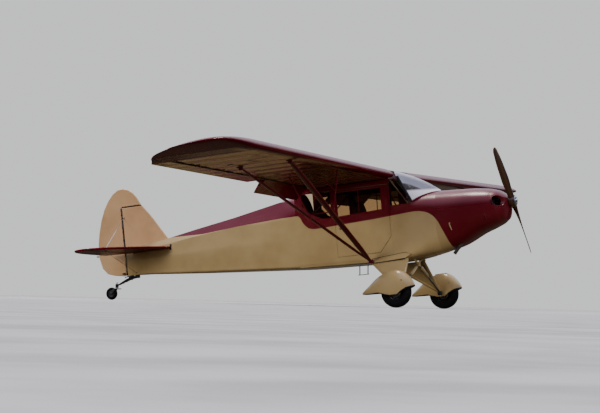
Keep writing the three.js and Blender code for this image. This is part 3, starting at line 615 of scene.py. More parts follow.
class Graph:
    """A node tree that is being wired."""

    def __init__(self, tree: bpy.types.NodeTree) -> None:
        """Wires the given tree."""
        self.tree = tree

    def feed(self, socket: bpy.types.NodeSocket, value: Feed) -> None:
        """Links a socket to another, or sets its own value.

        Args:
            socket: the input.
            value: another node's output, or a constant.
        """
        if isinstance(value, bpy.types.NodeSocket):
            self.tree.links.new(value, socket)
        else:
            socket.default_value = value

    def node(self, kind: str, settings: dict | None = None, **feeds: Feed) -> bpy.types.Node:
        """Adds a node.

        Args:
            kind: Blender's name of its type.
            settings: its options.
            feeds: its inputs by name, with _ for a space.

        Returns:
            The new node.
        """
        made = self.tree.nodes.new(kind)
        for key, value in (settings or {}).items():
            setattr(made, key, value)
        for key, value in feeds.items():
            self.feed(made.inputs[key.replace("_", " ")], value)
        return made

    def math(self, operation: str, *values: Feed, clamp: bool = False) -> bpy.types.NodeSocket:
        """Adds a Math node and gives its output.

        Args:
            operation: what it works out.
            values: its inputs in order.
            clamp: whether the result stays between 0 and 1.

        Returns:
            Its output socket.
        """
        made = self.node("ShaderNodeMath", {"operation": operation, "use_clamp": clamp})
        for socket, value in zip(made.inputs, values):
            self.feed(socket, value)
        return made.outputs[0]

    def ramp(
        self, value: Feed, low: Feed, high: Feed, start: Feed = 0.0, end: Feed = 1.0,
    ) -> bpy.types.NodeSocket:
        """Smooth step: start below low, end above high, an S between them.

        Args:
            value: what is stepped.
            low: where the step begins.
            high: where it ends.
            start: result before it.
            end: result after it.

        Returns:
            The result.
        """
        made = self.node(
            "ShaderNodeMapRange", {"interpolation_type": "SMOOTHSTEP"},
            Value=value, From_Min=low, From_Max=high, To_Min=start, To_Max=end,
        )
        return made.outputs["Result"]

    def noise(
        self, vector: Feed, scale: Feed, detail: float = 3.0, rough: float = 0.5,
    ) -> bpy.types.NodeSocket:
        """Adds a noise texture and gives its value.

        Args:
            vector: where it is read.
            scale: its fineness.
            detail: how many finer layers it has.
            rough: how strong they are.

        Returns:
            Its value.
        """
        made = self.node(
            "ShaderNodeTexNoise", None, Vector=vector, Scale=scale, Detail=detail, Roughness=rough,
        )
        return made.outputs["Fac"]

    def split(self, vector: Feed) -> list[bpy.types.NodeSocket]:
        """Gives a vector's x, y and z."""
        return list(self.node("ShaderNodeSeparateXYZ", None, Vector=vector).outputs)

    def mix(self, share: Feed, first: Feed, second: Feed) -> bpy.types.NodeSocket:
        """Mixes two colours.

        Args:
            share: of the second.
            first: a colour.
            second: another.

        Returns:
            The mixed colour.
        """
        made = self.node("ShaderNodeMix", {"data_type": "RGBA", "clamp_factor": True})
        self.feed(made.inputs["Factor"], share)
        self.feed(made.inputs[6], first)
        self.feed(made.inputs[7], second)
        return made.outputs[2]

    def blend(self, share: Feed, first: Feed, second: Feed) -> bpy.types.NodeSocket:
        """Mixes two values.

        Args:
            share: of the second.
            first: a value.
            second: another.

        Returns:
            The mixed value.
        """
        made = self.node("ShaderNodeMix", {"data_type": "FLOAT", "clamp_factor": True})
        for socket, value in zip((made.inputs[0], made.inputs[2], made.inputs[3]), (share, first, second)):
            self.feed(socket, value)
        return made.outputs[0]

    def shade(self, colour: Feed, factor: Feed) -> bpy.types.NodeSocket:
        """Multiplies a colour by a value.

        Args:
            colour: or any vector.
            factor: the value.

        Returns:
            The product.
        """
        made = self.node("ShaderNodeVectorMath", {"operation": "SCALE"})
        self.feed(made.inputs[0], colour)
        self.feed(made.inputs["Scale"], factor)
        return made.outputs[0]


class Effects:
    """Shader groups that several finishes share, each built once."""

    def __init__(self, stance: Stance) -> None:
        """Starts with no groups; the stance turns patterns level."""
        self.stance = stance
        self.groups: dict[str, bpy.types.NodeTree] = {}

    def open(self, name: str, inputs: dict[str, float | None], outputs: Iterable[str]) -> tuple:
        """Starts a group.

        Args:
            name: of the group.
            inputs: input names with their usual values, None for a vector.
            outputs: names of its values.

        Returns:
            Its graph, its inputs by name and its output node.
        """
        tree = bpy.data.node_groups.new(name, "ShaderNodeTree")
        for key, usual in inputs.items():
            kind = "NodeSocketVector" if usual is None else "NodeSocketFloat"
            socket = tree.interface.new_socket(key, in_out="INPUT", socket_type=kind)
            if usual is not None:
                socket.default_value = usual
        for key in outputs:
            tree.interface.new_socket(key, in_out="OUTPUT", socket_type="NodeSocketFloat")
        self.groups[name] = tree
        graph = Graph(tree)
        return graph, graph.node("NodeGroupInput").outputs, graph.node("NodeGroupOutput").inputs

    def use(self, graph: Graph, name: str, **feeds: Feed) -> dict[str, bpy.types.NodeSocket]:
        """Places a group in a material, building it the first time.

        Args:
            graph: the material's graph.
            name: of the group.
            feeds: its inputs by name, with _ for a space.

        Returns:
            Its outputs by name.
        """
        if name not in self.groups:
            getattr(self, "build_" + name.lower().replace(" ", "_"))()
        made = graph.node("ShaderNodeGroup", {"node_tree": self.groups[name]})
        for key, value in feeds.items():
            graph.feed(made.inputs[key.replace("_", " ")], value)
        return {socket.name: socket for socket in made.outputs}

    def level(self, graph: Graph) -> bpy.types.NodeSocket:
        """Object coordinates turned and shifted into the level-flight frame.

        Args:
            graph: the material's graph.

        Returns:
            The level-flight place.
        """
        place = graph.node("ShaderNodeTexCoord").outputs["Object"]
        pitch = float(np.arctan2(self.stance.sine, self.stance.cosine))
        back = graph.node(
            "ShaderNodeMapping", {"vector_type": "TEXTURE"}, Vector=place,
            Location=(self.stance.shift_x, 0.0, self.stance.shift_z), Rotation=(0.0, -pitch, 0.0),
        )
        return back.outputs["Vector"]

    def build_weathering(self) -> None:
        """Slow colour drift, fine roughness grain and streaks of dust along the flow."""
        graph, given, out = self.open(
            "Weathering", {"Vector": None, "Scale": 1.0}, ["Tone", "Grain", "Dust"],
        )
        scaled = graph.shade(given["Vector"], given["Scale"])
        slow = graph.noise(scaled, 1.7, 4.0, 0.55)
        fine = graph.noise(scaled, 46.0, 5.0, 0.6)
        flow = graph.node("ShaderNodeMapping", None, Vector=scaled, Scale=(0.7, 7.0, 9.0))
        streak = graph.noise(flow.outputs["Vector"], 1.0, 5.0, 0.6)
        dust = graph.math("MULTIPLY", graph.ramp(streak, 0.48, 0.8), graph.ramp(slow, 0.35, 0.7))
        graph.feed(out["Tone"], slow)
        graph.feed(out["Grain"], fine)
        graph.feed(out["Dust"], dust)

    def build_cloth_skin(self) -> None:
        """Doped cloth: crossed threads, the product of two sines, filled by fine brush grain."""
        graph, given, out = self.open("Cloth skin", {"Vector": None, "Threads": 900.0}, ["Height"])
        x, y, z = graph.split(graph.shade(given["Vector"], given["Threads"]))
        warp = graph.math("SINE", graph.math("ADD", x, graph.math("MULTIPLY", y, 0.3)))
        weft = graph.math("SINE", graph.math("ADD", z, y))
        thread = graph.math("MULTIPLY", warp, weft)
        brush = graph.noise(given["Vector"], 60.0, 4.0, 0.6)
        graph.feed(out["Height"], graph.math("ADD", graph.math("MULTIPLY", thread, 0.25), brush))

    def build_rib_tapes(self) -> None:
        """Tapes across the span: a band about each multiple of the pitch, raised, with a
        row of lacing knots down its middle."""
        graph, given, out = self.open(
            "Rib tapes",
            {"Vector": None, "Pitch": 0.36, "Start": 0.494, "Width": 0.05, "Knots": 0.075},
            ["Tape", "Height"],
        )
        x, y, _ = graph.split(given["Vector"])
        along = graph.math("SUBTRACT", graph.math("ABSOLUTE", y), given["Start"])
        share = graph.math("DIVIDE", along, given["Pitch"])
        off = graph.math("ABSOLUTE", graph.math("SUBTRACT", share, graph.math("ROUND", share)))
        away = graph.math("MULTIPLY", off, given["Pitch"])
        half = graph.math("MULTIPLY", given["Width"], 0.5)
        tape = graph.ramp(away, graph.math("SUBTRACT", half, 0.002), half, 1.0, 0.0)
        knot_share = graph.math("DIVIDE", x, given["Knots"])
        knot_off = graph.math("SUBTRACT", knot_share, graph.math("ROUND", knot_share))
        knot_away = graph.math("MULTIPLY", knot_off, given["Knots"])
        reach = graph.math("SQRT", graph.math(
            "ADD", graph.math("MULTIPLY", knot_away, knot_away), graph.math("MULTIPLY", away, away),
        ))
        knot = graph.ramp(reach, 0.003, 0.009, 1.0, 0.0)
        graph.feed(out["Tape"], tape)
        graph.feed(out["Height"], graph.math("ADD", tape, graph.math("MULTIPLY", knot, 1.6)))

    def build_livery(self) -> None:
        """Maroon above a line from the fin's foot along the back and under the windows, and
        ahead of a round-cornered edge behind the engine; the line is a curve of height on x,
        shifted and scaled to run from 0 to 1."""
        graph, given, out = self.open("Livery", {"Vector": None}, ["Maroon"])
        x, _, z = graph.split(given["Vector"])
        back, length, lift = -Livery.LINE[0][0], 5.2, 0.7
        share = graph.math("DIVIDE", graph.math("ADD", x, back), length)
        curve = graph.node("ShaderNodeFloatCurve", None, Value=share)
        line = curve.mapping.curves[0]
        dots = [((at + back) / length, height + lift) for at, height in Livery.LINE]
        line.points[0].location = dots[0]
        line.points[1].location = dots[-1]
        for place in dots[1:-1]:
            line.points.new(*place)
        for dot in line.points:
            dot.handle_type = "VECTOR"
        curve.mapping.use_clip = False
        curve.mapping.update()
        height = graph.math("SUBTRACT", curve.outputs["Value"], lift)
        over = graph.math("SUBTRACT", z, height)
        graph.feed(out["Maroon"], graph.ramp(over, -0.002, 0.002))

    def build_wood_layers(self) -> None:
        """Laminated wood: plies are bands across x, each with stretched grain of its own."""
        graph, given, out = self.open("Wood layers", {"Vector": None, "Ply": 0.017}, ["Ply", "Grain"])
        layer = graph.math("DIVIDE", graph.split(given["Vector"])[0], given["Ply"])
        tone = graph.math("PINGPONG", graph.math("FLOOR", layer), 1.0)
        long_ = graph.node("ShaderNodeMapping", None, Vector=given["Vector"], Scale=(90.0, 14.0, 14.0))
        grain = graph.noise(long_.outputs["Vector"], 2.4, 8.0, 0.65)
        graph.feed(out["Ply"], tone)
        graph.feed(out["Grain"], grain)

    def build_hide(self) -> None:
        """Leather: cells with soft creases between them, and slow wear."""
        graph, given, out = self.open("Hide", {"Vector": None, "Scale": 320.0}, ["Height", "Wear"])
        cells = graph.node(
            "ShaderNodeTexVoronoi", {"feature": "DISTANCE_TO_EDGE"},
            Vector=given["Vector"], Scale=given["Scale"],
        )
        graph.feed(out["Height"], graph.ramp(cells.outputs["Distance"], 0.0, 0.25))
        graph.feed(out["Wear"], graph.ramp(graph.noise(given["Vector"], 9.0, 5.0, 0.6), 0.4, 0.75))

    def build_cast_grain(self) -> None:
        """Cast or rubber skin: two sizes of noise, and a scuff mask."""
        graph, given, out = self.open("Cast grain", {"Vector": None, "Scale": 200.0}, ["Height", "Scuff"])
        fine = graph.noise(given["Vector"], given["Scale"], 3.0, 0.5)
        broad = graph.noise(given["Vector"], 14.0, 6.0, 0.65)
        graph.feed(out["Height"], graph.math("ADD", fine, graph.math("MULTIPLY", broad, 0.6)))
        graph.feed(out["Scuff"], graph.ramp(broad, 0.5, 0.72))


class Livery:
    """Colours and the paint line, as x and height in level-flight metres."""

    MAROON = (0.128, 0.0024, 0.0085, 1.0)
    MAROON_WORN = (0.155, 0.006, 0.014, 1.0)
    CREAM = (0.56, 0.4, 0.185, 1.0)
    CREAM_WORN = (0.47, 0.325, 0.14, 1.0)
    LINE = (
        (-4.2, 0.6), (-3.95, 0.6), (-3.93, 0.072), (-3.27, 0.052), (-2.68, 0.091), (-2.18, 0.115),
        (-1.83, 0.128), (-1.58, 0.128), (-1.545, 0.10), (-1.515, 0.03), (-1.47, -0.03),
        (-1.42, -0.072), (-1.34, -0.093), (-1.2, -0.09), (-0.809, -0.071), (-0.391, -0.052),
        (0.084, -0.021), (0.27, -0.010), (0.36, -0.015), (0.44, -0.035), (0.5, -0.06),
        (0.566, -0.108), (0.63, -0.195), (0.69, -0.335), (0.725, -0.443), (0.767, -0.60),
        (0.79, -0.69), (1.0, -0.69),
    )


@dataclass(frozen=True)
class Finish:
    """A material: its shader's constants, and how its surface varies."""

    name: str
    colour: tuple[float, float, float, float]
    roughness: float = 0.4
    metallic: float = 0.0
    coat: float = 0.0
    bump: float = 0.0
    gloss: float = 0.5
    coat_rough: float = 0.06

    def start(self) -> tuple[bpy.types.Material, Graph, bpy.types.Node]:
        """Opens the material and its shader.

        Returns:
            The material, its graph and the shader node.
        """
        material = bpy.data.materials.new(self.name)
        material.use_nodes = True
        material.diffuse_color = self.colour
        graph = Graph(material.node_tree)
        shader = material.node_tree.nodes["Principled BSDF"]
        shader.inputs["Base Color"].default_value = self.colour
        shader.inputs["Roughness"].default_value = self.roughness
        shader.inputs["Metallic"].default_value = self.metallic
        shader.inputs["Coat Weight"].default_value = self.coat
        shader.inputs["Coat Roughness"].default_value = self.coat_rough
        shader.inputs["Specular IOR Level"].default_value = self.gloss
        return material, graph, shader

    def raise_surface(self, graph: Graph, shader: bpy.types.Node, height: Feed, distance: float) -> None:
        """Puts a bump on the shader's normal.

        Args:
            graph: the material's graph.
            shader: whose normal it is.
            height: of the surface, about 0 to 1.
            distance: in metres, of height 1.
        """
        bump = graph.node("ShaderNodeBump", None, Height=height)
        bump.inputs["Strength"].default_value = self.bump
        bump.inputs["Distance"].default_value = distance
        graph.feed(shader.inputs["Normal"], bump.outputs["Normal"])

    def rough(self, graph: Graph, shader: bpy.types.Node, grain: Feed, spread: float = 0.12) -> None:
        """Spreads the roughness about its mean by a value from 0 to 1."""
        value = graph.math("MULTIPLY_ADD", grain, spread, self.roughness - spread / 2)
        graph.feed(shader.inputs["Roughness"], value)

    def build(self, effects: Effects) -> bpy.types.Material:
        """Plain finish with slow drift and fine grain.

        Args:
            effects: the shared groups.

        Returns:
            The material.
        """
        material, graph, shader = self.start()
        worn = effects.use(graph, "Weathering", Vector=effects.level(graph), Scale=2.0)
        darker = tuple(0.72 * part for part in self.colour[:3]) + (1.0,)
        tone = graph.ramp(worn["Tone"], 0.3, 0.75)
        graph.feed(shader.inputs["Base Color"], graph.mix(tone, self.colour, darker))
        self.rough(graph, shader, worn["Grain"])
        self.raise_surface(graph, shader, worn["Grain"], 0.0006)
        return material


class Zone(Enum):
    """Where a painted skin is maroon."""

    ALL_MAROON = "all maroon"
    ALL_CREAM = "all cream"
    LIVERY = "by the body's paint line"
    UNDERSIDE = "at the wing's leading edge and tip"


@dataclass(frozen=True)
class Paint(Finish):
    """Painted skin: cloth over ribs where tape is set, or metal."""

    zone: Zone = Zone.ALL_MAROON
    tape: float = 0.0
    tape_start: float = 0.494
    cloth: bool = False
    # The tint scales the cream: below 1 it is painted shade, above 1 painted light.
    tint: tuple[float, float, float, float] = (1.0, 1.0, 1.0, 1.0)

    def maroon_mask(self, effects: Effects, graph: Graph, place: Feed) -> Feed:
        """Value that is 1 where the skin is maroon.

        Args:
            effects: the shared groups.
            graph: the material's graph.
            place: in the level-flight frame.

        Returns:
            The mask.
        """
        if self.zone is Zone.ALL_MAROON:
            return 1.0
        if self.zone is Zone.ALL_CREAM:
            return 0.0
        if self.zone is Zone.LIVERY:
            return effects.use(graph, "Livery", Vector=place)["Maroon"]
        x, y, _ = graph.split(place)
        edge = graph.ramp(x, -0.112, -0.108)
        tip = graph.math("SUBTRACT", graph.math("ABSOLUTE", y), graph.math("MULTIPLY_ADD", x, -0.06, 4.63))
        return graph.math("MAXIMUM", edge, graph.ramp(tip, -0.002, 0.002))

    def build(self, effects: Effects) -> bpy.types.Material:
        """Two paints parted by the zone, with drift, dust, tapes and thread.

        Args:
            effects: the shared groups.

        Returns:
            The material.
        """
        material, graph, shader = self.start()
        place = effects.level(graph)
        worn = effects.use(graph, "Weathering", Vector=place, Scale=1.0)
        tone = graph.ramp(worn["Tone"], 0.35, 0.7)
        maroon = graph.mix(tone, Livery.MAROON, Livery.MAROON_WORN)
        # The cream is scaled by the tint: painted shade on the wing's underside, painted light on the tail.
        fresh, aged = (
            tuple(a * b for a, b in zip(paint, self.tint)) for paint in (Livery.CREAM, Livery.CREAM_WORN)
        )
        cream = graph.mix(tone, fresh, aged)
        mask = self.maroon_mask(effects, graph, place)
        colour = graph.mix(mask, cream, maroon)
        dusty = graph.mix(graph.math("MULTIPLY", worn["Dust"], 0.1), colour, (0.24, 0.17, 0.1, 1.0))
        graph.feed(shader.inputs["Base Color"], dusty)
        grain = graph.math("ADD", worn["Grain"], graph.math("MULTIPLY", worn["Dust"], 0.9))
        self.rough(graph, shader, grain, 0.16)
        height = graph.math("MULTIPLY", worn["Grain"], 0.35)
        if self.cloth:
            thread = effects.use(graph, "Cloth skin", Vector=place, Threads=1100.0)["Height"]
            height = graph.math("MULTIPLY", thread, 0.22)
        if self.tape > 0:
            tapes = effects.use(graph, "Rib tapes", Vector=place, Pitch=self.tape, Start=self.tape_start)
            height = graph.math("ADD", height, tapes["Height"])
        self.raise_surface(graph, shader, height, 0.0009)
        return material


@dataclass(frozen=True)
class Glazing(Finish):
    """Clear acrylic: a straight-through sheet whose gloss grows at a glance."""

    # The see-through tint; the cabin windows' amber tint is painted shade.
    tint: tuple[float, float, float, float] = (0.7, 0.73, 0.74, 1.0)
    # Extra gloss share low on the sheet: a whitish painted reflection.
    painted_glare: float = 0.0

    def build(self, effects: Effects) -> bpy.types.Material:
        """Mixes a see-through and a gloss shader by the glance angle, with more gloss low on the sheet as a
        painted reflection.

        Args:
            effects: the shared groups.

        Returns:
            The material.
        """
        material, graph, shader = self.start()
        tree = material.node_tree
        clear = graph.node("ShaderNodeBsdfTransparent", None, Color=self.tint)
        glance = graph.node("ShaderNodeFresnel", None, IOR=1.49).outputs["Fac"]
        place = effects.level(graph)
        # Below a height the gloss share rises by the painted glare: a painted reflection low on the sheet.
        low = graph.ramp(graph.split(place)[2], 0.325, 0.28, 0.0, self.painted_glare)
        share = graph.math("ADD", glance, low, clamp=True)
        grain = effects.use(graph, "Weathering", Vector=place, Scale=3.0)
        self.rough(graph, shader, grain["Grain"], 0.03)
        blend = graph.node("ShaderNodeMixShader", None)
        graph.feed(blend.inputs[0], share)
        tree.links.new(clear.outputs[0], blend.inputs[1])
        tree.links.new(shader.outputs[0], blend.inputs[2])
        tree.links.new(blend.outputs[0], tree.nodes["Material Output"].inputs["Surface"])
        return material


@dataclass(frozen=True)
class Wood(Finish):
    """Varnished laminated wood."""

    def build(self, effects: Effects) -> bpy.types.Material:
        """Two plies by turns, each darkened by its grain, under a clear coat.

        Args:
            effects: the shared groups.

        Returns:
            The material.
        """
        material, graph, shader = self.start()
        layers = effects.use(graph, "Wood layers", Vector=effects.level(graph))
        light = graph.mix(layers["Grain"], (0.115, 0.048, 0.017, 1.0), (0.055, 0.022, 0.009, 1.0))
        dark = graph.mix(layers["Grain"], (0.075, 0.03, 0.012, 1.0), (0.034, 0.013, 0.006, 1.0))
        graph.feed(shader.inputs["Base Color"], graph.mix(layers["Ply"], light, dark))
        self.rough(graph, shader, layers["Grain"], 0.1)
        self.raise_surface(graph, shader, layers["Grain"], 0.0004)
        return material


@dataclass(frozen=True)
class Hide(Finish):
    """Seat leather."""

    def build(self, effects: Effects) -> bpy.types.Material:
        """Grained leather, paler where it is worn.

        Args:
            effects: the shared groups.

        Returns:
            The material.
        """
        material, graph, shader = self.start()
        hide = effects.use(graph, "Hide", Vector=effects.level(graph))
        paler = tuple(min(1.0, 1.55 * part) for part in self.colour[:3]) + (1.0,)
        graph.feed(shader.inputs["Base Color"], graph.mix(hide["Wear"], self.colour, paler))
        self.rough(graph, shader, hide["Wear"], 0.15)
        self.raise_surface(graph, shader, hide["Height"], 0.0006)
        return material


@dataclass(frozen=True)
class Grained(Finish):
    """Rubber, cast metal or moulded plastic, with scuffs of a second colour."""

    scuff: tuple[float, float, float, float] = (0.08, 0.075, 0.07, 1.0)
    scale: float = 220.0
    share: float = 0.5

    def build(self, effects: Effects) -> bpy.types.Material:
        """Base colour, scuffed where broad noise is high.

        Args:
            effects: the shared groups.

        Returns:
            The material.
        """
        material, graph, shader = self.start()
        cast = effects.use(graph, "Cast grain", Vector=effects.level(graph), Scale=self.scale)
        amount = graph.math("MULTIPLY", cast["Scuff"], self.share)
        graph.feed(shader.inputs["Base Color"], graph.mix(amount, self.colour, self.scuff))
        self.rough(graph, shader, cast["Height"], 0.14)
        self.raise_surface(graph, shader, cast["Height"], 0.0005)
        return material


@dataclass(frozen=True)
class Underfoot(Finish):
    """Floor that is pale to look at and throws little light back up."""

    bounce: tuple[float, float, float, float] = (0.055, 0.042, 0.026, 1.0)

    def build(self, effects: Effects) -> bpy.types.Material:
        """Pale mottle where it is seen straight, the darker bounce for all other light.

        Args:
            effects: the shared groups.

        Returns:
            The material.
        """
        material = super().build(effects)
        graph = Graph(material.node_tree)
        shader = material.node_tree.nodes["Principled BSDF"]
        pale = shader.inputs["Base Color"].links[0].from_socket
        seen = graph.node("ShaderNodeLightPath").outputs["Is Camera Ray"]
        graph.feed(shader.inputs["Base Color"], graph.mix(seen, self.bounce, pale))
        return material


@dataclass(frozen=True)
class Palette:
    """Every finish of the aircraft, ready to put on pieces."""

    body: bpy.types.Material
    cloth_body: bpy.types.Material
    maroon: bpy.types.Material
    maroon_cloth: bpy.types.Material
    wing_top: bpy.types.Material
    wing_under: bpy.types.Material
    tail_cloth: bpy.types.Material
    tail_maroon: bpy.types.Material
    cream: bpy.types.Material
    glass: bpy.types.Material
    screen: bpy.types.Material
    steel: bpy.types.Material
    bright: bpy.types.Material
    dark: bpy.types.Material
    cast: bpy.types.Material
    rubber: bpy.types.Material
    black: bpy.types.Material
    leather: bpy.types.Material
    wood: bpy.types.Material
    brass: bpy.types.Material
    shadow: bpy.types.Material
    red: bpy.types.Material
    green: bpy.types.Material
    lamp: bpy.types.Material
    dial: bpy.types.Material
    lining: bpy.types.Material

    @classmethod
    def mix(cls, effects: Effects) -> "Palette":
        """Builds every finish.

        Args:
            effects: the shared groups.

        Returns:
            The set of materials.
        """
        maroon, cream = Livery.MAROON, Livery.CREAM
        finishes = dict(
            body=Paint("body_paint", cream, 0.3, coat=0.4, bump=0.12, zone=Zone.LIVERY, gloss=0.35,
                       coat_rough=0.3),
            cloth_body=Paint("body_cloth", cream, 0.2, coat=0.35, bump=0.35, zone=Zone.LIVERY, gloss=0.3,
                             cloth=True),
            maroon=Paint("maroon_paint", maroon, 0.2, coat=0.5, bump=0.12, gloss=0.35),
            maroon_cloth=Paint("maroon_cloth", maroon, 0.3, coat=0.25, bump=0.4, gloss=0.3, cloth=True),
            wing_top=Paint("wing_cloth_top", maroon, 0.24, coat=0.06, bump=0.7, gloss=0.2, tape=0.3554,
                           cloth=True),
            # The underside's cream is scaled down and made pinker by its tint: painted shade under the
            # wing.
            wing_under=Paint("wing_cloth_under", cream, 0.12, bump=0.12, zone=Zone.UNDERSIDE, gloss=0.06,
                             tape=0.3554, cloth=True, tint=(0.5, 0.33, 0.4, 1.0)),
            # The tail's cream is lifted by its tint: painted light standing in for sunlight on the fin and
            # rudder.
            tail_cloth=Paint("tail_cloth", cream, 0.36, coat=0.15, bump=0.5, zone=Zone.ALL_CREAM,
                             gloss=0.3, cloth=True, tint=(1.5, 1.33, 1.45, 1.0)),
            tail_maroon=Paint("tail_cloth_maroon", maroon, 0.3, bump=0.5, gloss=0.03, tape=0.29,
                              tape_start=0.12, cloth=True),
            cream=Paint("cream_paint", cream, 0.3, coat=0.5, bump=0.15, zone=Zone.ALL_CREAM),
            # The amber see-through tint is painted shade: it darkens and browns the view through the cabin
            # windows.
            glass=Glazing("clear_acrylic", (0.05, 0.05, 0.05, 0.2), 0.04, gloss=0.8,
                          tint=(0.78, 0.68, 0.55, 1.0)),
            # The screen's whitish base shows in its low gloss band: a painted reflection low on the sheet.
            screen=Glazing("screen_acrylic", (0.95, 0.93, 0.95, 0.2), 0.04, painted_glare=0.95,
                           tint=(0.74, 0.74, 0.77, 1.0)),
            steel=Finish("bare_steel", (0.42, 0.42, 0.41, 1.0), 0.32, metallic=1.0, bump=0.2),
            bright=Finish("polished_alloy", (0.72, 0.72, 0.73, 1.0), 0.2, metallic=1.0, bump=0.1),
            # Black enamel, and painted shade along the spat rims and in the tailplane's trim slot.
            dark=Grained("black_enamel_and_shade", (0.018, 0.018, 0.02, 1.0), 0.34, coat=0.3, bump=0.15,
                         scuff=(0.1, 0.09, 0.08, 1.0), share=0.3),
            cast=Grained("cast_alloy", (0.2, 0.2, 0.205, 1.0), 0.5, metallic=0.8, bump=0.4,
                         scuff=(0.09, 0.08, 0.07, 1.0)),
            rubber=Grained("tyre_rubber", (0.0085, 0.008, 0.009, 1.0), 0.72, bump=0.35, gloss=0.25,
                           scuff=(0.05, 0.042, 0.03, 1.0), share=0.25),
            black=Grained("black_crackle", (0.02, 0.02, 0.021, 1.0), 0.55, bump=0.4, scale=500.0,
                          scuff=(0.05, 0.05, 0.05, 1.0)),
            leather=Hide("seat_leather", (0.115, 0.055, 0.03, 1.0), 0.5, bump=0.4),
            wood=Wood("varnished_wood", (0.09, 0.04, 0.015, 1.0), 0.3, coat=0.9, bump=0.2),
            brass=Finish("brass_tipping", (0.66, 0.47, 0.2, 1.0), 0.3, metallic=1.0, bump=0.15),
            # Near-black painted shade for gaps, edges and what shows inside the inlets.
            shadow=Grained("shadow_black", (0.008, 0.008, 0.008, 1.0), 0.8, bump=0.2),
            red=Finish("red_lens", (0.5, 0.01, 0.01, 1.0), 0.12, coat=1.0, bump=0.05),
            green=Finish("green_lens", (0.02, 0.5, 0.2, 1.0), 0.2, coat=0.1, bump=0.05, gloss=0.2),
            # Pale lens white; on two cabin tubes it is a painted highlight.
            lamp=Finish("lens_and_painted_highlight", (0.75, 0.75, 0.72, 1.0), 0.1, coat=1.0, bump=0.05),
            dial=Finish("dial_white", (0.7, 0.7, 0.66, 1.0), 0.5, bump=0.05),
            lining=Hide("cabin_lining", (0.028, 0.024, 0.022, 1.0), 0.85, bump=0.3, gloss=0.2),
        )
        return cls(**{key: finish.build(effects) for key, finish in finishes.items()})


@dataclass
class Workshop:
    """Makes finished pieces of forms and dresses the frame's own nodes."""

    stance: Stance
    looks: Palette
    nodes: dict[str, bpy.types.Object]

    def place(
        self, form: Form, name: str, body: Body, slot: Slot, finishes: Sequence[bpy.types.Material],
        replaces: Sequence[str] = (), sharp: float = 34.0,
    ) -> bpy.types.Object:
        """Makes a piece that rides on a body.

        Args:
            form: its surfaces.
            name: of the piece.
            body: which it rides on.
            slot: the record's slot; not used.
            finishes: its materials, by the forms' look numbers.
            replaces: frame nodes that it stands for.
            sharp: angle from which its edges stay crisp.

        Returns:
            The new piece.
        """
        mesh = form.mesh(name, self.stance, sharp)
        for finish in finishes:
            mesh.materials.append(finish)
        piece = bpy.data.objects.new(name, mesh)
        bpy.context.scene.collection.objects.link(piece)
        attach(piece, body.value)
        if replaces:
            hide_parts(*replaces)
        LOG.info("%s: %d faces on %s", name, len(mesh.polygons), body.value)
        return piece

    def pair(
        self, form: Form, name: str, slot: Slot, finishes: Sequence[bpy.types.Material], node: str,
        bodies: Sequence[Body] = (Body.AIRFRAME, Body.AIRFRAME), sharp: float = 34.0,
    ) -> None:
        """Makes a port and a starboard piece of a port form.

        Args:
            form: its surfaces on the port side.
            name: of the pieces, without left or right.
            slot: the record's slot, passed on to place, which does not use it.
            finishes: their materials, by the form's look numbers.
            node: frame node that they stand for, without left or right.
            bodies: which they ride on, port first.
            sharp: angle from which their edges stay crisp.
        """
        for (end, side), body in zip(SIDES, bodies):
            self.place(Form().merge(form, side), f"{name}_{end}", body, slot, finishes,
                       [f"{node}_{end}"], sharp)

    def dress(self, finish: bpy.types.Material, *names: str) -> None:
        """Gives frame nodes a finish.

        Args:
            finish: the material.
            names: the nodes.
        """
        for name in names:
            for holder in self.nodes[name].material_slots:
                holder.material = finish


def superellipse(turn: np.ndarray, power: np.ndarray) -> tuple[np.ndarray, np.ndarray]:
    """Across and up of a superellipse of unit half sizes: the signed cosine and sine of the
    turn, each raised to 2 over the power."""
    across = np.sign(np.cos(turn)) * np.abs(np.cos(turn)) ** (2 / power)
    return across, np.abs(np.sin(turn)) ** (2 / power)


def column(table: Sequence[Sequence[float]], number: int) -> list[float]:
    """One column of a table."""
    return [row[number] for row in table]


def straight(x: np.ndarray, table: Sequence[Sequence[float]], number: int) -> np.ndarray:
    """A table's column at x, straight between its rows."""
    return np.interp(x, column(table, 0), column(table, number))


def smooth(x: np.ndarray, table: Sequence[Sequence[float]], number: int) -> np.ndarray:
    """A table's column at x, on a smooth curve through its rows."""
    return smooth_between(x, column(table, 0), column(table, number))


def places(x: np.ndarray, y: np.ndarray | float, z: np.ndarray) -> np.ndarray:
    """Joins three coordinates, each spread over the others' shape."""
    return np.stack(np.broadcast_arrays(x, y, z), axis=-1)


def both_ways(half: list[tuple], first: int = 0, last: int | None = None) -> list[tuple]:
    """A turned profile followed by its mirror image, row by row from last back to first."""
    return half + [(radius, -along) for radius, along in reversed(half[first:last])]


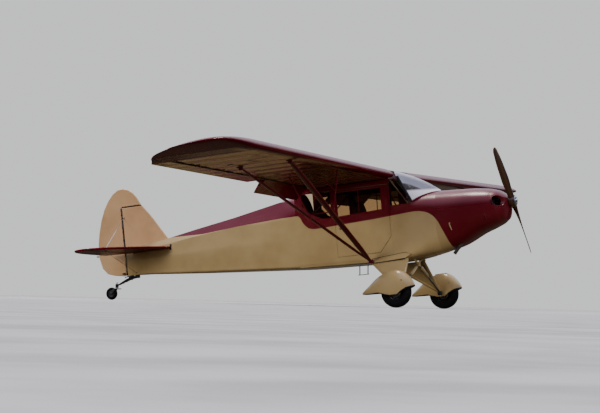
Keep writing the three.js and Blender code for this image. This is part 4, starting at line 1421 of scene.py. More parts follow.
def body_rings(x: np.ndarray, shape: dict[str, np.ndarray], half: int = 24, side: int = 8) -> np.ndarray:
    """Sections of the body: a superellipse arch above, straight sides, and a superellipse
    trough below, for each x.

    Args:
        x: the stations.
        shape: width, high, crown, top_power, low, belly and low_power at each station.
        half: points over the arch, and again round the trough.
        side: points down each side.

    Returns:
        Places as stations, points, xyz.
    """
    col = {key: np.broadcast_to(np.asarray(value, float), x.shape)[:, None] for key, value in shape.items()}
    turn = np.linspace(0, np.pi, half)[None]
    across, up = superellipse(turn, col["top_power"])
    top_y, top_z = col["width"] * across, col["high"] + (col["crown"] - col["high"]) * up
    across, up = superellipse(turn, col["low_power"])
    low_y, low_z = -col["width"] * across, col["low"] - (col["low"] - col["belly"]) * up
    share = np.linspace(0, 1, side + 2)[None, 1:-1]
    left_z = col["high"] + (col["low"] - col["high"]) * share
    y = np.concatenate([top_y, -col["width"] + 0 * share, low_y, col["width"] + 0 * share], axis=1)
    z = np.concatenate([top_z, left_z, low_z, left_z[:, ::-1]], axis=1)
    return places(x[:, None], y, z)


def sleeve(outer: np.ndarray, inner: np.ndarray) -> np.ndarray:
    """Loops for a hoop that makes a hollow sleeve: forward along the outside and back along
    the inside, one loop for each point of the rings.

    Args:
        outer: outside places as stations, points, xyz.
        inner: inside places in the same order.

    Returns:
        Places as points, loop, xyz.
    """
    return np.concatenate([outer, inner[::-1]], axis=0).transpose(1, 0, 2)


BELLY = (
    (-4.728, -0.437), (-4.303, -0.458), (-3.386, -0.532), (-1.62, -0.655), (-0.47, -0.688),
    (0.1, -0.684), (0.315, -0.664), (0.594, -0.626),
)


def belly(x: np.ndarray) -> np.ndarray:
    """Height of the body's lower line at x, straight between the frame's stations."""
    return straight(x, BELLY, 1)


@dataclass
class Fuselage:
    """Cloth-covered rear body, cabin skins and their trim."""

    shop: Workshop
    half_width: float = 0.347
    front: float = 0.594
    post: float = -0.09
    sill: float = 0.031
    crown: float = 0.272
    skin: float = 0.012
    stringer_stand: float = 0.03
    window_sill: float = 0.118

    BACK = (
        (-4.728, 0.024, -0.070, -0.008), (-4.5, 0.060, -0.062, 0.014), (-4.0, 0.128, -0.030, 0.068),
        (-3.44, 0.192, 0.026, 0.160), (-2.743, 0.258, 0.088, 0.266), (-2.0, 0.322, 0.118, 0.408),
        (-1.62, 0.347, 0.128, 0.490),
    )
    REAR_WINDOW = ((-1.03, 0.04), (-1.19, 0.04), (-1.4, 0.15), (-1.5, 0.26), (-1.51, 0.44), (-1.03, 0.44))
    MID_WINDOW = ((-0.225, 0.078), (-0.94, 0.044), (-0.94, 0.4), (-0.225, 0.4))

    def back_half_width(self, x: np.ndarray) -> np.ndarray:
        """Half width of the rear body at x."""
        return straight(x, self.BACK, 1)

    def rear_rings(self, x: np.ndarray) -> np.ndarray:
        """Sections of the rear body. Over each side stands a flat panel to a stringer at 0.6
        of the half width and 0.865 of the height, and a shallow ridge joins the two; the side
        below stands out to one stringer at mid height.

        Args:
            x: the stations.

        Returns:
            Places as stations, points, xyz.
        """
        width = self.back_half_width(x)
        high, crown = straight(x, self.BACK, 2), straight(x, self.BACK, 3)
        half, side = 49, 15
        shape = dict(
            width=width, high=high, crown=crown, top_power=1.7, belly=belly(x),
            low=belly(x) + np.minimum(0.07, width), low_power=5.0,
        )
        rings = body_rings(x, shape, half, side)
        corner = np.linspace(0, 4, half)
        across = np.interp(corner, range(5), (1.0, 0.6, 0.0, -0.6, -1.0))
        above = np.interp(corner, range(5), (0.0, 0.865, 1.0, 0.865, 0.0))
        flat = places(x[:, None], width[:, None] * across,
                      high[:, None] + (crown - high)[:, None] * above)
        share = np.clip((-1.64 - x) / 0.3, 0, 1)[:, None, None]
        rings[:, :half] += (flat - rings[:, :half]) * share
        fade = np.clip((-1.62 - x) / 0.5, 0, 1) * np.clip((x + 4.7) / 0.6, 0, 1)
        peak = 1 - np.abs(np.linspace(-1, 1, side + 2)[1:-1])
        stand = self.stringer_stand * fade[:, None] * peak[None]
        rings[:, half:half + side, 1] -= stand
        rings[:, -side:, 1] += stand
        return rings

    def build_rear(self) -> None:
        """Rear body, with its rudder lug and the stern post tube."""
        x = np.concatenate([np.linspace(-4.728, -4.2, 14), np.linspace(-4.15, -1.6203, 46)])
        form = Form().loft(self.rear_rings(x))
        form.tube([(-4.7525, 0, -0.452), (-4.742, 0, -0.1)], 0.011, 14, 0)
        form.pad((-4.735, 0, -0.3), (0.03, 0.006, 0.016), 6)
        looks = self.shop.looks
        self.shop.place(form, "rear_body_skin", Body.AIRFRAME, Slot.CREAM, [looks.cloth_body],
                        ["rear_fuselage"], 24)

    def boot_rings(self, x: np.ndarray, inset: float) -> np.ndarray:
        """Sections of the body ahead of the door posts, shrunk by an inset.

        Args:
            x: the stations.
            inset: in metres.

        Returns:
            Places as stations, points, xyz.
        """
        share = np.clip((x - self.post) / (self.front - self.post), 0, 1)
        width = self.half_width + 0.013 * np.minimum(1, 3 * share)
        low = belly(x) + 0.06
        return body_rings(x, dict(
            width=width - inset, high=self.sill - 0.045 * share**4, crown=self.crown - inset,
            top_power=2.2 - 0.1 * share**4, low=low + (self.sill - 0.045 - low) * share**2,
            belly=belly(x) + inset, low_power=6 - 3.3 * share,
        ), 41, 9)

    def build_front(self) -> None:
        """Metal skin from the door posts to the engine, open above behind the panel."""
        form = Form()
        deck = np.linspace(0.222, self.front, 12)
        form.hoop(sleeve(self.boot_rings(deck, 0), self.boot_rings(deck, self.skin)))
        sides = np.linspace(self.post, 0.2218, 10)
        rings = self.boot_rings(sides, 0)
        form.shell(np.concatenate([rings[:, 40:], rings[:, :1]], axis=1), self.skin)
        top = np.linspace(self.sill - 0.002, self.window_sill, 6)[None, :]
        for _, side in SIDES:
            along = np.linspace(-0.083, 0.243, 12)[:, None]
            share = np.clip((along - self.post) / (self.front - self.post), 0, 1)
            y = side * (self.half_width + 0.013 * np.minimum(1, 3 * share))
            plate = places(along, y, top)
            form.shell(plate if side > 0 else plate[::-1], 0.003)
        looks = self.shop.looks
        self.shop.place(form, "front_body_skin", Body.AIRFRAME, Slot.CREAM, [looks.body],
                        ["boot_cowl"], 30)

    def outline_strip(
        self, form: Form, outline: Sequence[Sequence[float]], y: float, width: float, look: int = 0,
    ) -> None:
        """Flat strip round a window: a ring of inner and outer corners, offset along each
        corner's bisector, raised 3 mm.

        Args:
            form: which gets the strip.
            outline: the window's corners, x and z.
            y: the skin's place; its sign gives the side.
            width: of the strip.
            look: number of its finish.
        """
        dense = []
        corners = np.asarray(outline, float)
        for a, b in zip(corners, np.roll(corners, -1, axis=0)):
            dense.extend(a + (b - a) * t for t in (0.0, 0.04, 0.5, 0.96))
        flat = np.asarray(dense)
        way = units(np.roll(flat, -1, axis=0) - np.roll(flat, 1, axis=0))
        out = np.stack([way[:, 1], -way[:, 0]], axis=1)
        centre = flat.mean(axis=0)
        if ((flat - centre) * out).sum() < 0:
            out = -out
        side = np.sign(y)
        loops = []
        for off, raise_ in ((-0.004, -0.006), (-0.004, 0.002), (0.0, 0.0035), (width, 0.0035),
                            (width + 0.002, -0.002)):
            place = flat + out * off
            loops.append(places(place[:, 0], y + side * raise_, place[:, 1]))
        form.hoop(np.stack(loops, axis=1), look)

    def build_trim(self) -> None:
        """Window strips, the bars between panes, and the door's handle."""
        looks = self.shop.looks
        y = self.half_width
        form = Form()
        for side in (1, -1):
            self.outline_strip(form, self.REAR_WINDOW, side * y, 0.018)
        self.outline_strip(form, self.MID_WINDOW, y, 0.016)
        self.shop.place(form, "window_strips", Body.AIRFRAME, Slot.MAROON, [looks.maroon], (), 40)
        door = Form()
        self.outline_strip(door, self.MID_WINDOW, -y, 0.016)
        door.tube([(-0.585, -y - 0.001, 0.055), (-0.585, -y - 0.001, 0.402)], 0.006, 10)
        self.shop.place(door, "door_window_strip", Body.DOOR, Slot.MAROON, [looks.maroon], (), 40)
        handle = Form()
        handle.lathe([(0.004, -0.002), (0.022, -0.002), (0.022, 0.003), (0.016, 0.006), (0.004, 0.006)],
                     (-0.9, -y, -0.13), (0, -1, 0), 24)
        handle.tube([(-0.9, -y - 0.004, -0.13), (-0.9, -y - 0.024, -0.13), (-0.885, -y - 0.03, -0.131),
                     (-0.8, -y - 0.028, -0.134)], [0.006, 0.006, 0.006, 0.004], 12, 0, 0.8)
        self.shop.place(handle, "door_handle", Body.DOOR, Slot.STEEL, [looks.bright])
        bar = Form().tube([(-0.585, y + 0.001, 0.055), (-0.585, y + 0.001, 0.402)], 0.006, 10)
        self.shop.place(bar, "window_bar_left", Body.AIRFRAME, Slot.MAROON, [looks.maroon])

    def build_gear_fairings(self) -> None:
        """Raised strips along the lower sides where the gear legs are fixed, edged by a near-black tube of
        painted shade.
        """
        looks = self.shop.looks
        outline = np.array([
            (-0.437, -0.63), (0.087, -0.583), (0.183, -0.62), (0.082, -0.668), (-0.412, -0.69),
        ])
        form = Form()
        for _, side in SIDES:
            y = side * (self.half_width + 0.004)
            rings = []
            for off, grow in ((-0.004, 1.0), (0.007, 1.0), (0.009, 0.985)):
                centre = outline.mean(axis=0)
                spread = centre + (outline - centre) * grow
                rings.append(places(spread[:, 0], y + side * off, spread[:, 1]))
            form.loft(np.stack(rings))
            # Near-black tube round each strip: painted shade along its raised edge.
            edge = places(outline[:, 0], y + side * 0.006, outline[:, 1])
            form.tube(np.concatenate([edge, edge[:1]]), 0.0042, 8, 1)
        self.shop.place(form, "gear_root_fairings", Body.AIRFRAME, Slot.CREAM, [looks.cream, looks.shadow])

    def build(self) -> None:
        """Makes all of the body and dresses its own nodes."""
        looks = self.shop.looks
        self.build_rear()
        self.build_front()
        self.build_trim()
        self.build_gear_fairings()
        self.shop.dress(looks.cloth_body, "cabin_side_left", "cabin_side_right", "cabin_floor", "door")
        self.shop.dress(looks.glass, "window_front_left", "window_front_right", "window_mid_left",
                        "window_rear_left", "window_rear_right", "door_window")
        self.shop.dress(looks.black, "instrument_panel", "control_stick")


@dataclass
class Nose:
    """Engine cowling: two halves hinged along a crease, a round nose and what shows in it."""

    shop: Workshop
    crease: float = -0.014
    skin: float = 0.004
    split: float = 1.4
    inlet_y: float = 0.238
    inlet_z: float = 0.008
    inlet_radius: float = 0.078
    shaft_hole: float = 0.062

    ARCH = 61
    LOW_POWER = 2.7
    STATIONS = (
        (0.594, 0.360, 0.272, -0.625), (0.9, 0.366, 0.258, -0.549), (1.2, 0.356, 0.236, -0.412),
        (1.4, 0.322, 0.200, -0.342), (1.52, 0.262, 0.154, -0.284), (1.585, 0.180, 0.098, -0.218),
        (1.608, 0.110, 0.066, -0.150),
    )

    def rings(self, x: np.ndarray, inset: float = 0.0) -> np.ndarray:
        """Sections of the cowling, through smooth curves of its stations.

        Args:
            x: the stations.
            inset: how much smaller they are all round.

        Returns:
            Places as stations, points, xyz.
        """
        width, top, bottom = (smooth(x, self.STATIONS, n) for n in (1, 2, 3))
        return body_rings(x, dict(
            width=width - inset, high=self.crease, crown=top - inset, top_power=2.1,
            low=self.crease - 0.0005, belly=bottom + inset, low_power=self.LOW_POWER,
        ), self.ARCH, 1)

    def side_y(self, x: float, z: float) -> float:
        """Half width of the lower cowl at a height: w (1 - (depth share)^p)^(1/p).

        Args:
            x: the station.
            z: the height.

        Returns:
            The half width.
        """
        width, bottom = (float(smooth(np.array(x), self.STATIONS, n)) for n in (1, 3))
        share = np.clip((self.crease - z) / (self.crease - bottom), 0, 1)
        return width * float((1 - share**self.LOW_POWER) ** (1 / self.LOW_POWER))

    def build_halves(self) -> None:
        """Upper and lower cowl, each a sheet rolled in at its edges."""
        looks = self.shop.looks
        x = np.linspace(0.5946, self.split - 0.0006, 34)
        rings = self.rings(x)
        upper = Form().shell(rings[:, :self.ARCH], self.skin)
        self.shop.place(upper, "upper_cowl_skin", Body.AIRFRAME, Slot.MAROON, [looks.body],
                        ["upper_cowl"])
        lower_grid = rings[:, self.ARCH + 1:2 * self.ARCH + 1].copy()
        lower_grid[:, [0, -1], 2] -= 0.003
        lower = Form().shell(lower_grid, self.skin)
        self.shop.place(lower, "lower_cowl_skin", Body.AIRFRAME, Slot.MAROON, [looks.body],
                        ["lower_cowl"])

    def nose_grid(self) -> np.ndarray:
        """Nose sections to the shaft hole: past the last station the ring turns by a smooth
        share into the hole's circle and in again.

        Returns:
            Places as stations, points, xyz.
        """
        front = self.STATIONS[-1][0]
        grow = np.sin(np.linspace(0, np.pi / 2, 46))
        rings = self.rings(self.split + (front - self.split) * grow)
        last = rings[-1]
        around = last - np.array([front, 0, 0])
        size = np.linalg.norm(around[:, 1:], axis=1, keepdims=True)
        circle = np.concatenate([0 * size, around[:, 1:] / size * self.shaft_hole], axis=1)
        extra = []
        for share, ahead, scale in ((0.3, 0.004, 1), (0.65, 0.0065, 1), (1.0, 0.006, 1), (1.0, 0.0, 0.97),
                                    (1.0, -0.03, 0.95)):
            ring = around * (1 - share) + circle * share * scale
            extra.append(ring + np.array([front + ahead, 0, 0]))
        return np.concatenate([rings, np.stack(extra)])

    def build_nose(self) -> None:
        """Nose bowl with two round inlets: faces over an inlet are left out and the points
        round it are drawn onto its circle; a rolled lip covers the edge."""
        looks = self.shop.looks
        grid = self.nose_grid()
        rows, count = grid.shape[:2]
        normal = units(np.cross(
            np.roll(grid, -1, axis=1) - np.roll(grid, 1, axis=1), np.gradient(grid, axis=0),
        ))
        points = grid.reshape(-1, 3).copy()
        quads = grid_quads(rows, count, True)
        forward = np.repeat(np.arange(rows) > 6, count)
        lips = Form()
        keep = np.ones(len(quads), bool)
        for _, side in SIDES:
            hub = np.array([side * self.inlet_y, self.inlet_z])
            reach = np.linalg.norm(points[:, 1:] - hub, axis=1)
            inside = (reach < self.inlet_radius) & forward
            gone = inside[quads].sum(axis=1) >= 2
            keep &= ~gone
            edge = np.unique(quads[gone])
            rim = np.setdiff1d(edge, np.unique(quads[gone & (inside[quads].all(axis=1))]))
            turn = np.linspace(0, 2 * np.pi, 64, endpoint=False)
            circle = hub + self.inlet_radius * np.stack([np.cos(turn), np.sin(turn)], -1)
            away = np.linalg.norm(points[:, None, 1:] - circle[None], axis=-1)
            away[~forward] = 9.0
            depth = points[away.argmin(axis=0), 0]
            depth = np.convolve(np.concatenate([depth[-3:], depth, depth[:3]]), np.ones(7) / 7, "valid")
            lip = np.concatenate([depth[:, None] + 0.001, circle], axis=1)
            section = np.array([(0.004, 0.007), (0.007, 0.0), (0.004, -0.008), (-0.004, -0.02),
                                (-0.007, -0.05), (-0.0095, -0.05), (-0.007, -0.004), (-0.003, 0.006)])
            out = np.stack([0 * turn, np.cos(turn), np.sin(turn)], -1)
            loops = lip[:, None] + out[:, None] * section[None, :, :1] \
                + np.array([1.0, 0, 0]) * section[None, :, 1:]
            lips.hoop(loops)
            reach_rim = np.linalg.norm(points[rim, 1:] - hub, axis=1, keepdims=True)
            points[rim, 1:] = hub + (points[rim, 1:] - hub) / reach_rim * self.inlet_radius
        form = Form().sheet(points, quads[keep], normal.reshape(-1, 3), self.skin)
        form.merge(lips)
        self.shop.place(form, "nose_bowl_skin", Body.AIRFRAME, Slot.MAROON, [looks.body], ["nose_bowl"])

    def build_engine(self) -> None:
        """Front cylinders with their fins, baffles and valve covers, seen through the inlets."""
        looks = self.shop.looks
        fins, metal = [(0.02, 0.0)], 0.060
        for n in range(13):
            start = 0.01 + n * 0.011
            fins += [(metal, start), (0.084, start + 0.001), (0.084, start + 0.0028),
                     (metal, start + 0.0045)]
        fins += [(0.07, 0.158), (0.078, 0.165), (0.07, 0.2), (0.02, 0.202)]
        form = Form()
        # Look 1, the shadow finish, makes the valve covers, pipes and baffles near-black: painted shade
        # inside the inlets.
        for _, side in SIDES:
            form.lathe(fins, (1.285, side * 0.105, -0.02), (0, side, 0), 30, 0)
            form.pad((1.285, side * 0.302, 0.0), (0.05, 0.016, 0.055), 5, 1)
            form.tube([(1.33, side * 0.285, 0.03), (1.352, side * 0.25, 0.045), (1.36, side * 0.17, 0.05)],
                      0.006, 10, 1)
        form.pad((1.365, 0, -0.02), (0.05, 0.12, 0.1), 4, 0)
        form.pad((1.18, 0, 0.05), (0.012, 0.25, 0.07), 8, 1)
        form.pad((1.18, 0, -0.11), (0.012, 0.27, 0.11), 8, 1)
        self.shop.place(form, "front_cylinders", Body.AIRFRAME, Slot.ENGINE, [looks.cast, looks.shadow])
        self.shop.dress(looks.cast, "engine_block")

    def build_fittings(self) -> None:
        """Bead along the crease, side latches and exhaust."""
        looks = self.shop.looks
        x = np.linspace(0.61, 1.385, 40)
        width = smooth(x, self.STATIONS, 1)
        form = Form()
        for _, side in SIDES:
            form.tube(places(x, side * (width + 0.0005), self.crease), 0.0034, 10, 2)
            for place, lean, look in (((0.812, -0.29), 0.32, 1), ((1.34, -0.197), 0.42, 0)):
                y = side * (self.side_y(*place) + 0.006)
                along = unit(np.array([lean, -side * 0.1, -1.0]))
                out = unit(np.array([0.0, side, 0.0]) - along * (side * along[1]))
                axes = np.stack([np.cross(along, out), out, along])
                form.pad((place[0], y, place[1]), (0.008, 0.005, 0.058), 3, look, axes)
                form.pad((place[0] - 0.004, y + side * 0.003, place[1] + 0.05), (0.01, 0.006, 0.009), 4,
                         look, axes)
        self.shop.place(form, "cowl_fittings", Body.AIRFRAME, Slot.MAROON,
                        [looks.maroon, looks.cream, looks.tail_maroon])
        pipe = Form()
        end, start = np.array([0.755, -0.12, -0.668]), np.array([0.96, -0.12, -0.43])
        way = unit(end - start)
        tube = [(0.026, 0.0), (0.026, 0.30), (0.0275, 0.312), (0.024, 0.314), (0.0235, 0.02), (0.0235, 0.0)]
        clamp = [(0.031, 0.18), (0.034, 0.183), (0.034, 0.2), (0.031, 0.203), (0.0262, 0.203),
                 (0.0262, 0.18)]
        for profile in (tube, clamp):
            pipe.lathe(profile, start, way, 30, 0, closed=True)
        self.shop.place(pipe, "exhaust_stack", Body.AIRFRAME, Slot.STEEL, [looks.steel], ["exhaust_pipe"])

    def build(self) -> None:
        """Makes the whole nose."""
        self.build_halves()
        self.build_nose()
        self.build_engine()
        self.build_fittings()


@dataclass
class Windscreen:
    """Wrapped acrylic sheet, its edge strips and the tubes behind it."""

    shop: Workshop
    half_width: float = 0.345
    thickness: float = 0.004

    # Columns: start, end, radius, sides, look. The first two rows take look 3, the pale lens finish: a
    # painted highlight on cream tubes behind the glass.
    TUBES = (
        ((-0.075, 0.325, 0.49), (0.218, 0.332, 0.075), 0.0105, 14, 3),
        ((0.13, 0.335, 0.066), (0.222, 0.332, 0.074), 0.006, 10, 3),
        ((-0.09, 0.3, 0.5), (-0.09, 0.3, -0.55), 0.011, 14, 1),
        ((-0.12, 0.03, 0.53), (0.2, 0.2, 0.16), 0.0085, 14, 2),
        ((-0.1, 0.3, 0.47), (-0.98, 0.3, 0.47), 0.011, 14, 1),
        ((-0.98, 0.3, 0.49), (-0.98, 0.3, -0.62), 0.011, 14, 1),
        ((-0.98, 0.3, 0.45), (-1.6, 0.3, -0.1), 0.0095, 14, 1),
    )

    def grid(self, rows: int = 30, columns: int = 70) -> np.ndarray:
        """The sheet: for t from deck to wing and s across, the centre line and the side line
        are quadratics in t, and the sheet goes from side to centre by (1 - |s|^1.5)^0.75.

        Args:
            rows: from deck to wing.
            columns: from side to side.

        Returns:
            Places as rows, columns, xyz.
        """
        t = np.linspace(0, 1, rows)[:, None]
        s = np.linspace(-1, 1, columns)[None]
        centre_x, centre_z = 0.606 - 0.609 * t - 0.092 * t**2, 0.266 + 0.486 * t - 0.106 * t**2
        side_x, side_z = 0.246 - 0.192 * t, 0.084 + 0.446 * t
        forward = np.clip(1 - np.abs(s) ** 1.5, 0, 1) ** 0.75
        up = np.clip(1 - np.abs(s * 0.964) ** 2.2, 0, 1) ** 0.4545
        lift = up * (1 - t) + (1 - np.abs(s) ** 2.4) * t
        x = side_x + (centre_x - side_x) * forward
        z = side_z + (centre_z - side_z) * lift
        return np.stack([x, s * self.half_width + 0 * t, z], axis=-1)

    def build(self) -> None:
        """Makes the sheet, its strips and the brace tubes of the frame behind it."""
        looks = self.shop.looks
        grid = self.grid()
        keep = grid[:, :, 0].max(axis=1) > -0.083
        sheet = Form().shell(grid[keep], self.thickness)
        self.shop.place(sheet, "windscreen_sheet", Body.AIRFRAME, Slot.GLASS, [looks.screen],
                        ["windscreen"])
        strips = Form()
        base = grid[0] + np.array([0.004, 0, 0.001])
        strips.tube(base, 0.011, 12, 0, 0.45, (0.5, 0, -0.9))
        for edge in (0, -1):
            strips.tube(grid[:, edge], 0.02, 12, 1, 0.35, (1, 0, 0.4))
        self.shop.place(strips, "windscreen_strips", Body.AIRFRAME, Slot.MAROON, [looks.maroon, looks.dark])
        tubes = Form()
        for _, side in SIDES:
            for start, end, radius, sides, look in self.TUBES:
                tubes.tube(np.array([start, end]) * np.array([1, side, 1]), radius, sides, look)
        for x in (-0.1, -0.98):
            tubes.tube([(x, -0.3, 0.475), (x, 0.3, 0.475)], 0.011, 14, 1)
        self.shop.place(tubes, "cabin_tubes", Body.AIRFRAME, Slot.CREAM,
                        [looks.cream, looks.maroon, looks.black, looks.lamp])


@dataclass
class Wing:
    """Cloth-covered wings, ailerons and lowered flaps, struts and fittings."""

    shop: Workshop
    chord: float = 1.6
    flat: float = 0.506
    dihedral: float = 0.018154
    rear_face: float = 0.8038
    hinge_aft: float = 1.33
    hinge_radius: float = 0.03794
    rib_pitch: float = 0.3435
    first_rib: float = 0.494
    sag: float = 0.0042

    FRONT_SPAR = -0.234
    REAR_SPAR = -0.977
    STRUT_Y = 3.337
    JURY_Y = 1.81
    STRUT_FOOT = (-0.452, 0.372, -0.672)
    NOSE_POINTS, SKIN_POINTS = 15, 13
    SECTION = (
        (0.0, 0.030, 0.030), (0.0125, 0.053, 0.014), (0.05, 0.080, 0.004), (0.12, 0.101, 0.0),
        (0.25, 0.1155, 0.0), (0.40, 0.1145, 0.0), (0.58, 0.096, 0.0), (0.78, 0.060, 0.0), (1.0, 0.006, 0.0),
    )
    PLAN = (
        (0.347, 0.0, 1.6, 1.0, 0.0), (4.62, 0.0, 1.6, 1.0, 0.0), (4.79, 0.0, 1.5, 0.93, 0.005),
        (4.97, 0.008, 1.4, 0.80, 0.016), (5.14, 0.032, 1.245, 0.62, 0.032),
        (5.29, 0.085, 0.995, 0.40, 0.052), (5.374, 0.16, 0.8, 0.22, 0.068),
        (5.404, 0.25, 0.59, 0.07, 0.080),
    )

    def heights(self, u: np.ndarray, which: int) -> np.ndarray:
        """Upper (1) or lower (2) height as shares of the chord, a smooth curve on the root of
        u, so that the nose is round."""
        return smooth_between(np.sqrt(u), np.sqrt(column(self.SECTION, 0)), column(self.SECTION, which))

    def billow(self, y: np.ndarray, u: np.ndarray) -> np.ndarray:
        """Sag of the cloth between ribs: a parabola between neighbours, none on the nose skin.

        Args:
            y: places along the span.
            u: shares of the chord.

        Returns:
            The sag in metres.
        """
        share = np.mod((y - self.first_rib) / self.rib_pitch, 1.0)
        fade = np.clip((u - 0.1) / 0.08, 0, 1)
        return self.sag * 4 * share * (1 - share) * fade

    def wing_rings(self, y: np.ndarray, bay: np.ndarray) -> tuple[np.ndarray, int]:
        """Sections from the trailing edge forward below and back above.

        Args:
            y: stations from the root to the tip.
            bay: whether each station ends at the aileron and flap bay.

        Returns:
            Places as stations, points, xyz, and how many points lie below.
        """
        main, aft = 40, 9
        s = np.linspace(1, 0, main)
        u_main = self.rear_face * s**1.6
        tip = self.PLAN[1:]
        leading, trailing, share, rise = (
            np.where(y > tip[0][0], smooth(y, tip, n), straight(y, self.PLAN, n))[:, None]
            for n in (1, 2, 3, 4)
        )
        base = self.flat + self.dihedral * y[:, None] + rise
        back = np.linspace(1, 0, aft, endpoint=False)[None]
        u_aft = self.rear_face + (1 - self.rear_face) * back
        rows = []
        for which, sign in ((2, -1.0), (1, 1.0)):
            u = np.concatenate([np.broadcast_to(u_aft, (len(y), aft)),
                                np.broadcast_to(u_main[None], (len(y), main))], axis=1)
            height = self.heights(u, which) * self.chord * share
            height = height - sign * self.billow(y[:, None], u) * np.minimum(1, share**2)
            x = -leading - u * (trailing - leading)
            z = base + height
            top_of_face = self.heights(np.array([self.rear_face]), 1)[0] * self.chord
            face = (0.5 * back if which == 2 else 1 - 0.5 * back) * top_of_face
            closed_x = np.full_like(x[:, :aft], -self.rear_face * self.chord)
            closed_z = base + face
            x[:, :aft] = np.where(bay[:, None], closed_x, x[:, :aft])
            z[:, :aft] = np.where(bay[:, None], closed_z, z[:, :aft])
            rows.append(places(x, y[:, None], z))
        ring = np.concatenate([rows[0], rows[1][:, ::-1][:, 1:]], axis=1)
        return ring, main + aft

    def build_panel(self) -> Form:
        """The port wing: stub, bays for flap and aileron, and the round tip.

        Returns:
            Its form.
        """
        y, bay = [], []
        rib = self.first_rib
        for start, end, count, cut in ((0.3472, rib, 5, False), (rib, 4.622, 121, True),
                                       (4.622, 5.36, 40, False), (5.363, 5.404, 12, False)):
            y.append(np.linspace(start, end, count))
            bay.append(np.full(count, cut))
        rings, below = self.wing_rings(np.concatenate(y), np.concatenate(bay))
        form = Form().loft(rings)
        size = rings.shape[1]
        under = np.tile(np.arange(size) < below - 1, rings.shape[0] - 1)
        form.looks[0] = under.astype(int)
        return form

    def surface_rings(self, inner: float, outer: float, down: float, count: int) -> np.ndarray:
        """Sections of an aileron or flap: a half-round nose about the hinge and two skins to
        the trailing edge, turned down about the hinge.

        Args:
            inner: first station along the span.
            outer: the last.
            down: angle in radians.
            count: how many stations.

        Returns:
            Places as stations, points, xyz.
        """
        y = np.linspace(inner, outer, count)[:, None]
        radius = self.hinge_radius
        nose, skin = self.NOSE_POINTS, self.SKIN_POINTS
        turn = np.linspace(np.pi / 2, -np.pi / 2, nose)
        tail = -(self.chord - self.hinge_aft)
        share = np.linspace(0, 1, skin + 1)[1:]
        u = np.concatenate([radius * np.cos(turn), tail * share, [tail - 0.002], tail * share[::-1]])
        v = np.concatenate([
            radius * np.sin(turn), np.full(skin, -radius), [0.0035 - radius],
            (0.008 - radius) + (2 * radius - 0.008) * (1 - share[::-1]),
        ])
        bulge = np.sin(np.pi * share)
        sign = np.concatenate([np.zeros(nose), np.ones(skin), [0.0], -np.ones(skin)])
        middle = np.concatenate([np.zeros(nose), bulge, [0.0], bulge[::-1]])
        part = np.mod((y - self.first_rib) / self.rib_pitch, 1.0)
        v = v[None] + sign * middle * 0.0032 * 4 * part * (1 - part)
        u = np.broadcast_to(u[None], v.shape)
        cosine, sine = np.cos(down), np.sin(down)
        centre = self.flat + self.dihedral * y + radius
        x = -self.hinge_aft + u * cosine - v * sine
        return places(x, y, centre + u * sine + v * cosine)

    def build_surfaces(self) -> None:
        """Ailerons, cream below, and flaps, maroon all round, each on its own body."""
        looks = self.shop.looks
        stations, nose, skin = 89, self.NOSE_POINTS, self.SKIN_POINTS
        aileron = Form().loft(self.surface_rings(1.896, 4.616, 0.0, stations))
        around = np.arange(nose + 2 * skin + 1)
        below = (around >= nose - 1) & (around <= nose + skin)
        aileron.looks[0] = np.tile(below, stations - 1).astype(int)
        flap = Form().loft(self.surface_rings(0.5, 1.884, np.radians(40), 45))
        self.shop.pair(aileron, "aileron_skin", Slot.MAROON, [looks.wing_top, looks.wing_under],
                       "aileron", (Body.AILERON_LEFT, Body.AILERON_RIGHT))
        self.shop.pair(flap, "flap_skin", Slot.MAROON, [looks.wing_top], "flap",
                       (Body.FLAP_LEFT, Body.FLAP_RIGHT))

    def under(self, x: float, y: float) -> np.ndarray:
        """A place on the wing's flat underside."""
        return np.array([x, y, self.flat + self.dihedral * abs(y)])

    def build_struts(self) -> None:
        """Lift struts with forked ends, jury struts with clamps, and their wing fittings."""
        looks = self.shop.looks
        foot = np.array(self.STRUT_FOOT)
        form = Form()
        for x, chord, thick in ((self.FRONT_SPAR, 0.096, 0.036), (self.REAR_SPAR, 0.062, 0.026)):
            top = self.under(x, self.STRUT_Y) + np.array([0, 0, 0.004])
            ease = np.array([0.45, 0.8, 1, 1, 1, 1, 1, 1, 1, 1, 1, 0.85, 0.5])
            form.fairing(foot, top, chord * ease, thick * np.minimum(1, ease * 1.1), 0, 13)
            way = unit(top - foot)
            form.pad(top - way * 0.03, (0.03, 0.018, 0.03), 4, 0)
            form.pad(top + np.array([0, 0, -0.006]), (0.042, 0.022, 0.005), 5, 0)
            form.bolt(top - way * 0.035 + np.array([0.02, 0, 0]), (1, 0, 0), 0.009, 1)
        form.pad(foot + np.array([0, -0.008, 0.006]), (0.04, 0.017, 0.024), 4, 0)
        form.bolt(foot + np.array([0.03, 0.004, 0.0]), (1, 0, 0), 0.009, 1)
        jury = Form()
        feet, tops = [], []
        for x, chord, clamp in ((self.FRONT_SPAR, 0.024, 0.045), (self.REAR_SPAR, 0.02, 0.032)):
            top = self.under(x, self.STRUT_Y) + np.array([0, 0, 0.004])
            low = foot + (top - foot) * (self.JURY_Y - foot[1]) / (self.STRUT_Y - foot[1])
            high = self.under(x, self.JURY_Y)
            feet.append(low)
            tops.append(high)
            jury.fairing(low, high, chord, 0.014, 0, 6)
            jury.pad(low, (clamp, 0.02, 0.021), 4, 0)
            jury.pad(high + np.array([0, 0, -0.004]), (0.028, 0.018, 0.006), 5, 0)
        rise = [0.048 / (high[2] - low[2]) for low, high in zip(feet, tops)]
        ends = [low + (high - low) * part for low, high, part in zip(feet, tops, rise)]
        jury.tube(ends, 0.0085, 14, 0)
        jury.tube([feet[0] + (tops[0] - feet[0]) * 0.55, self.under(-0.56, self.JURY_Y)], 0.006, 10, 0)
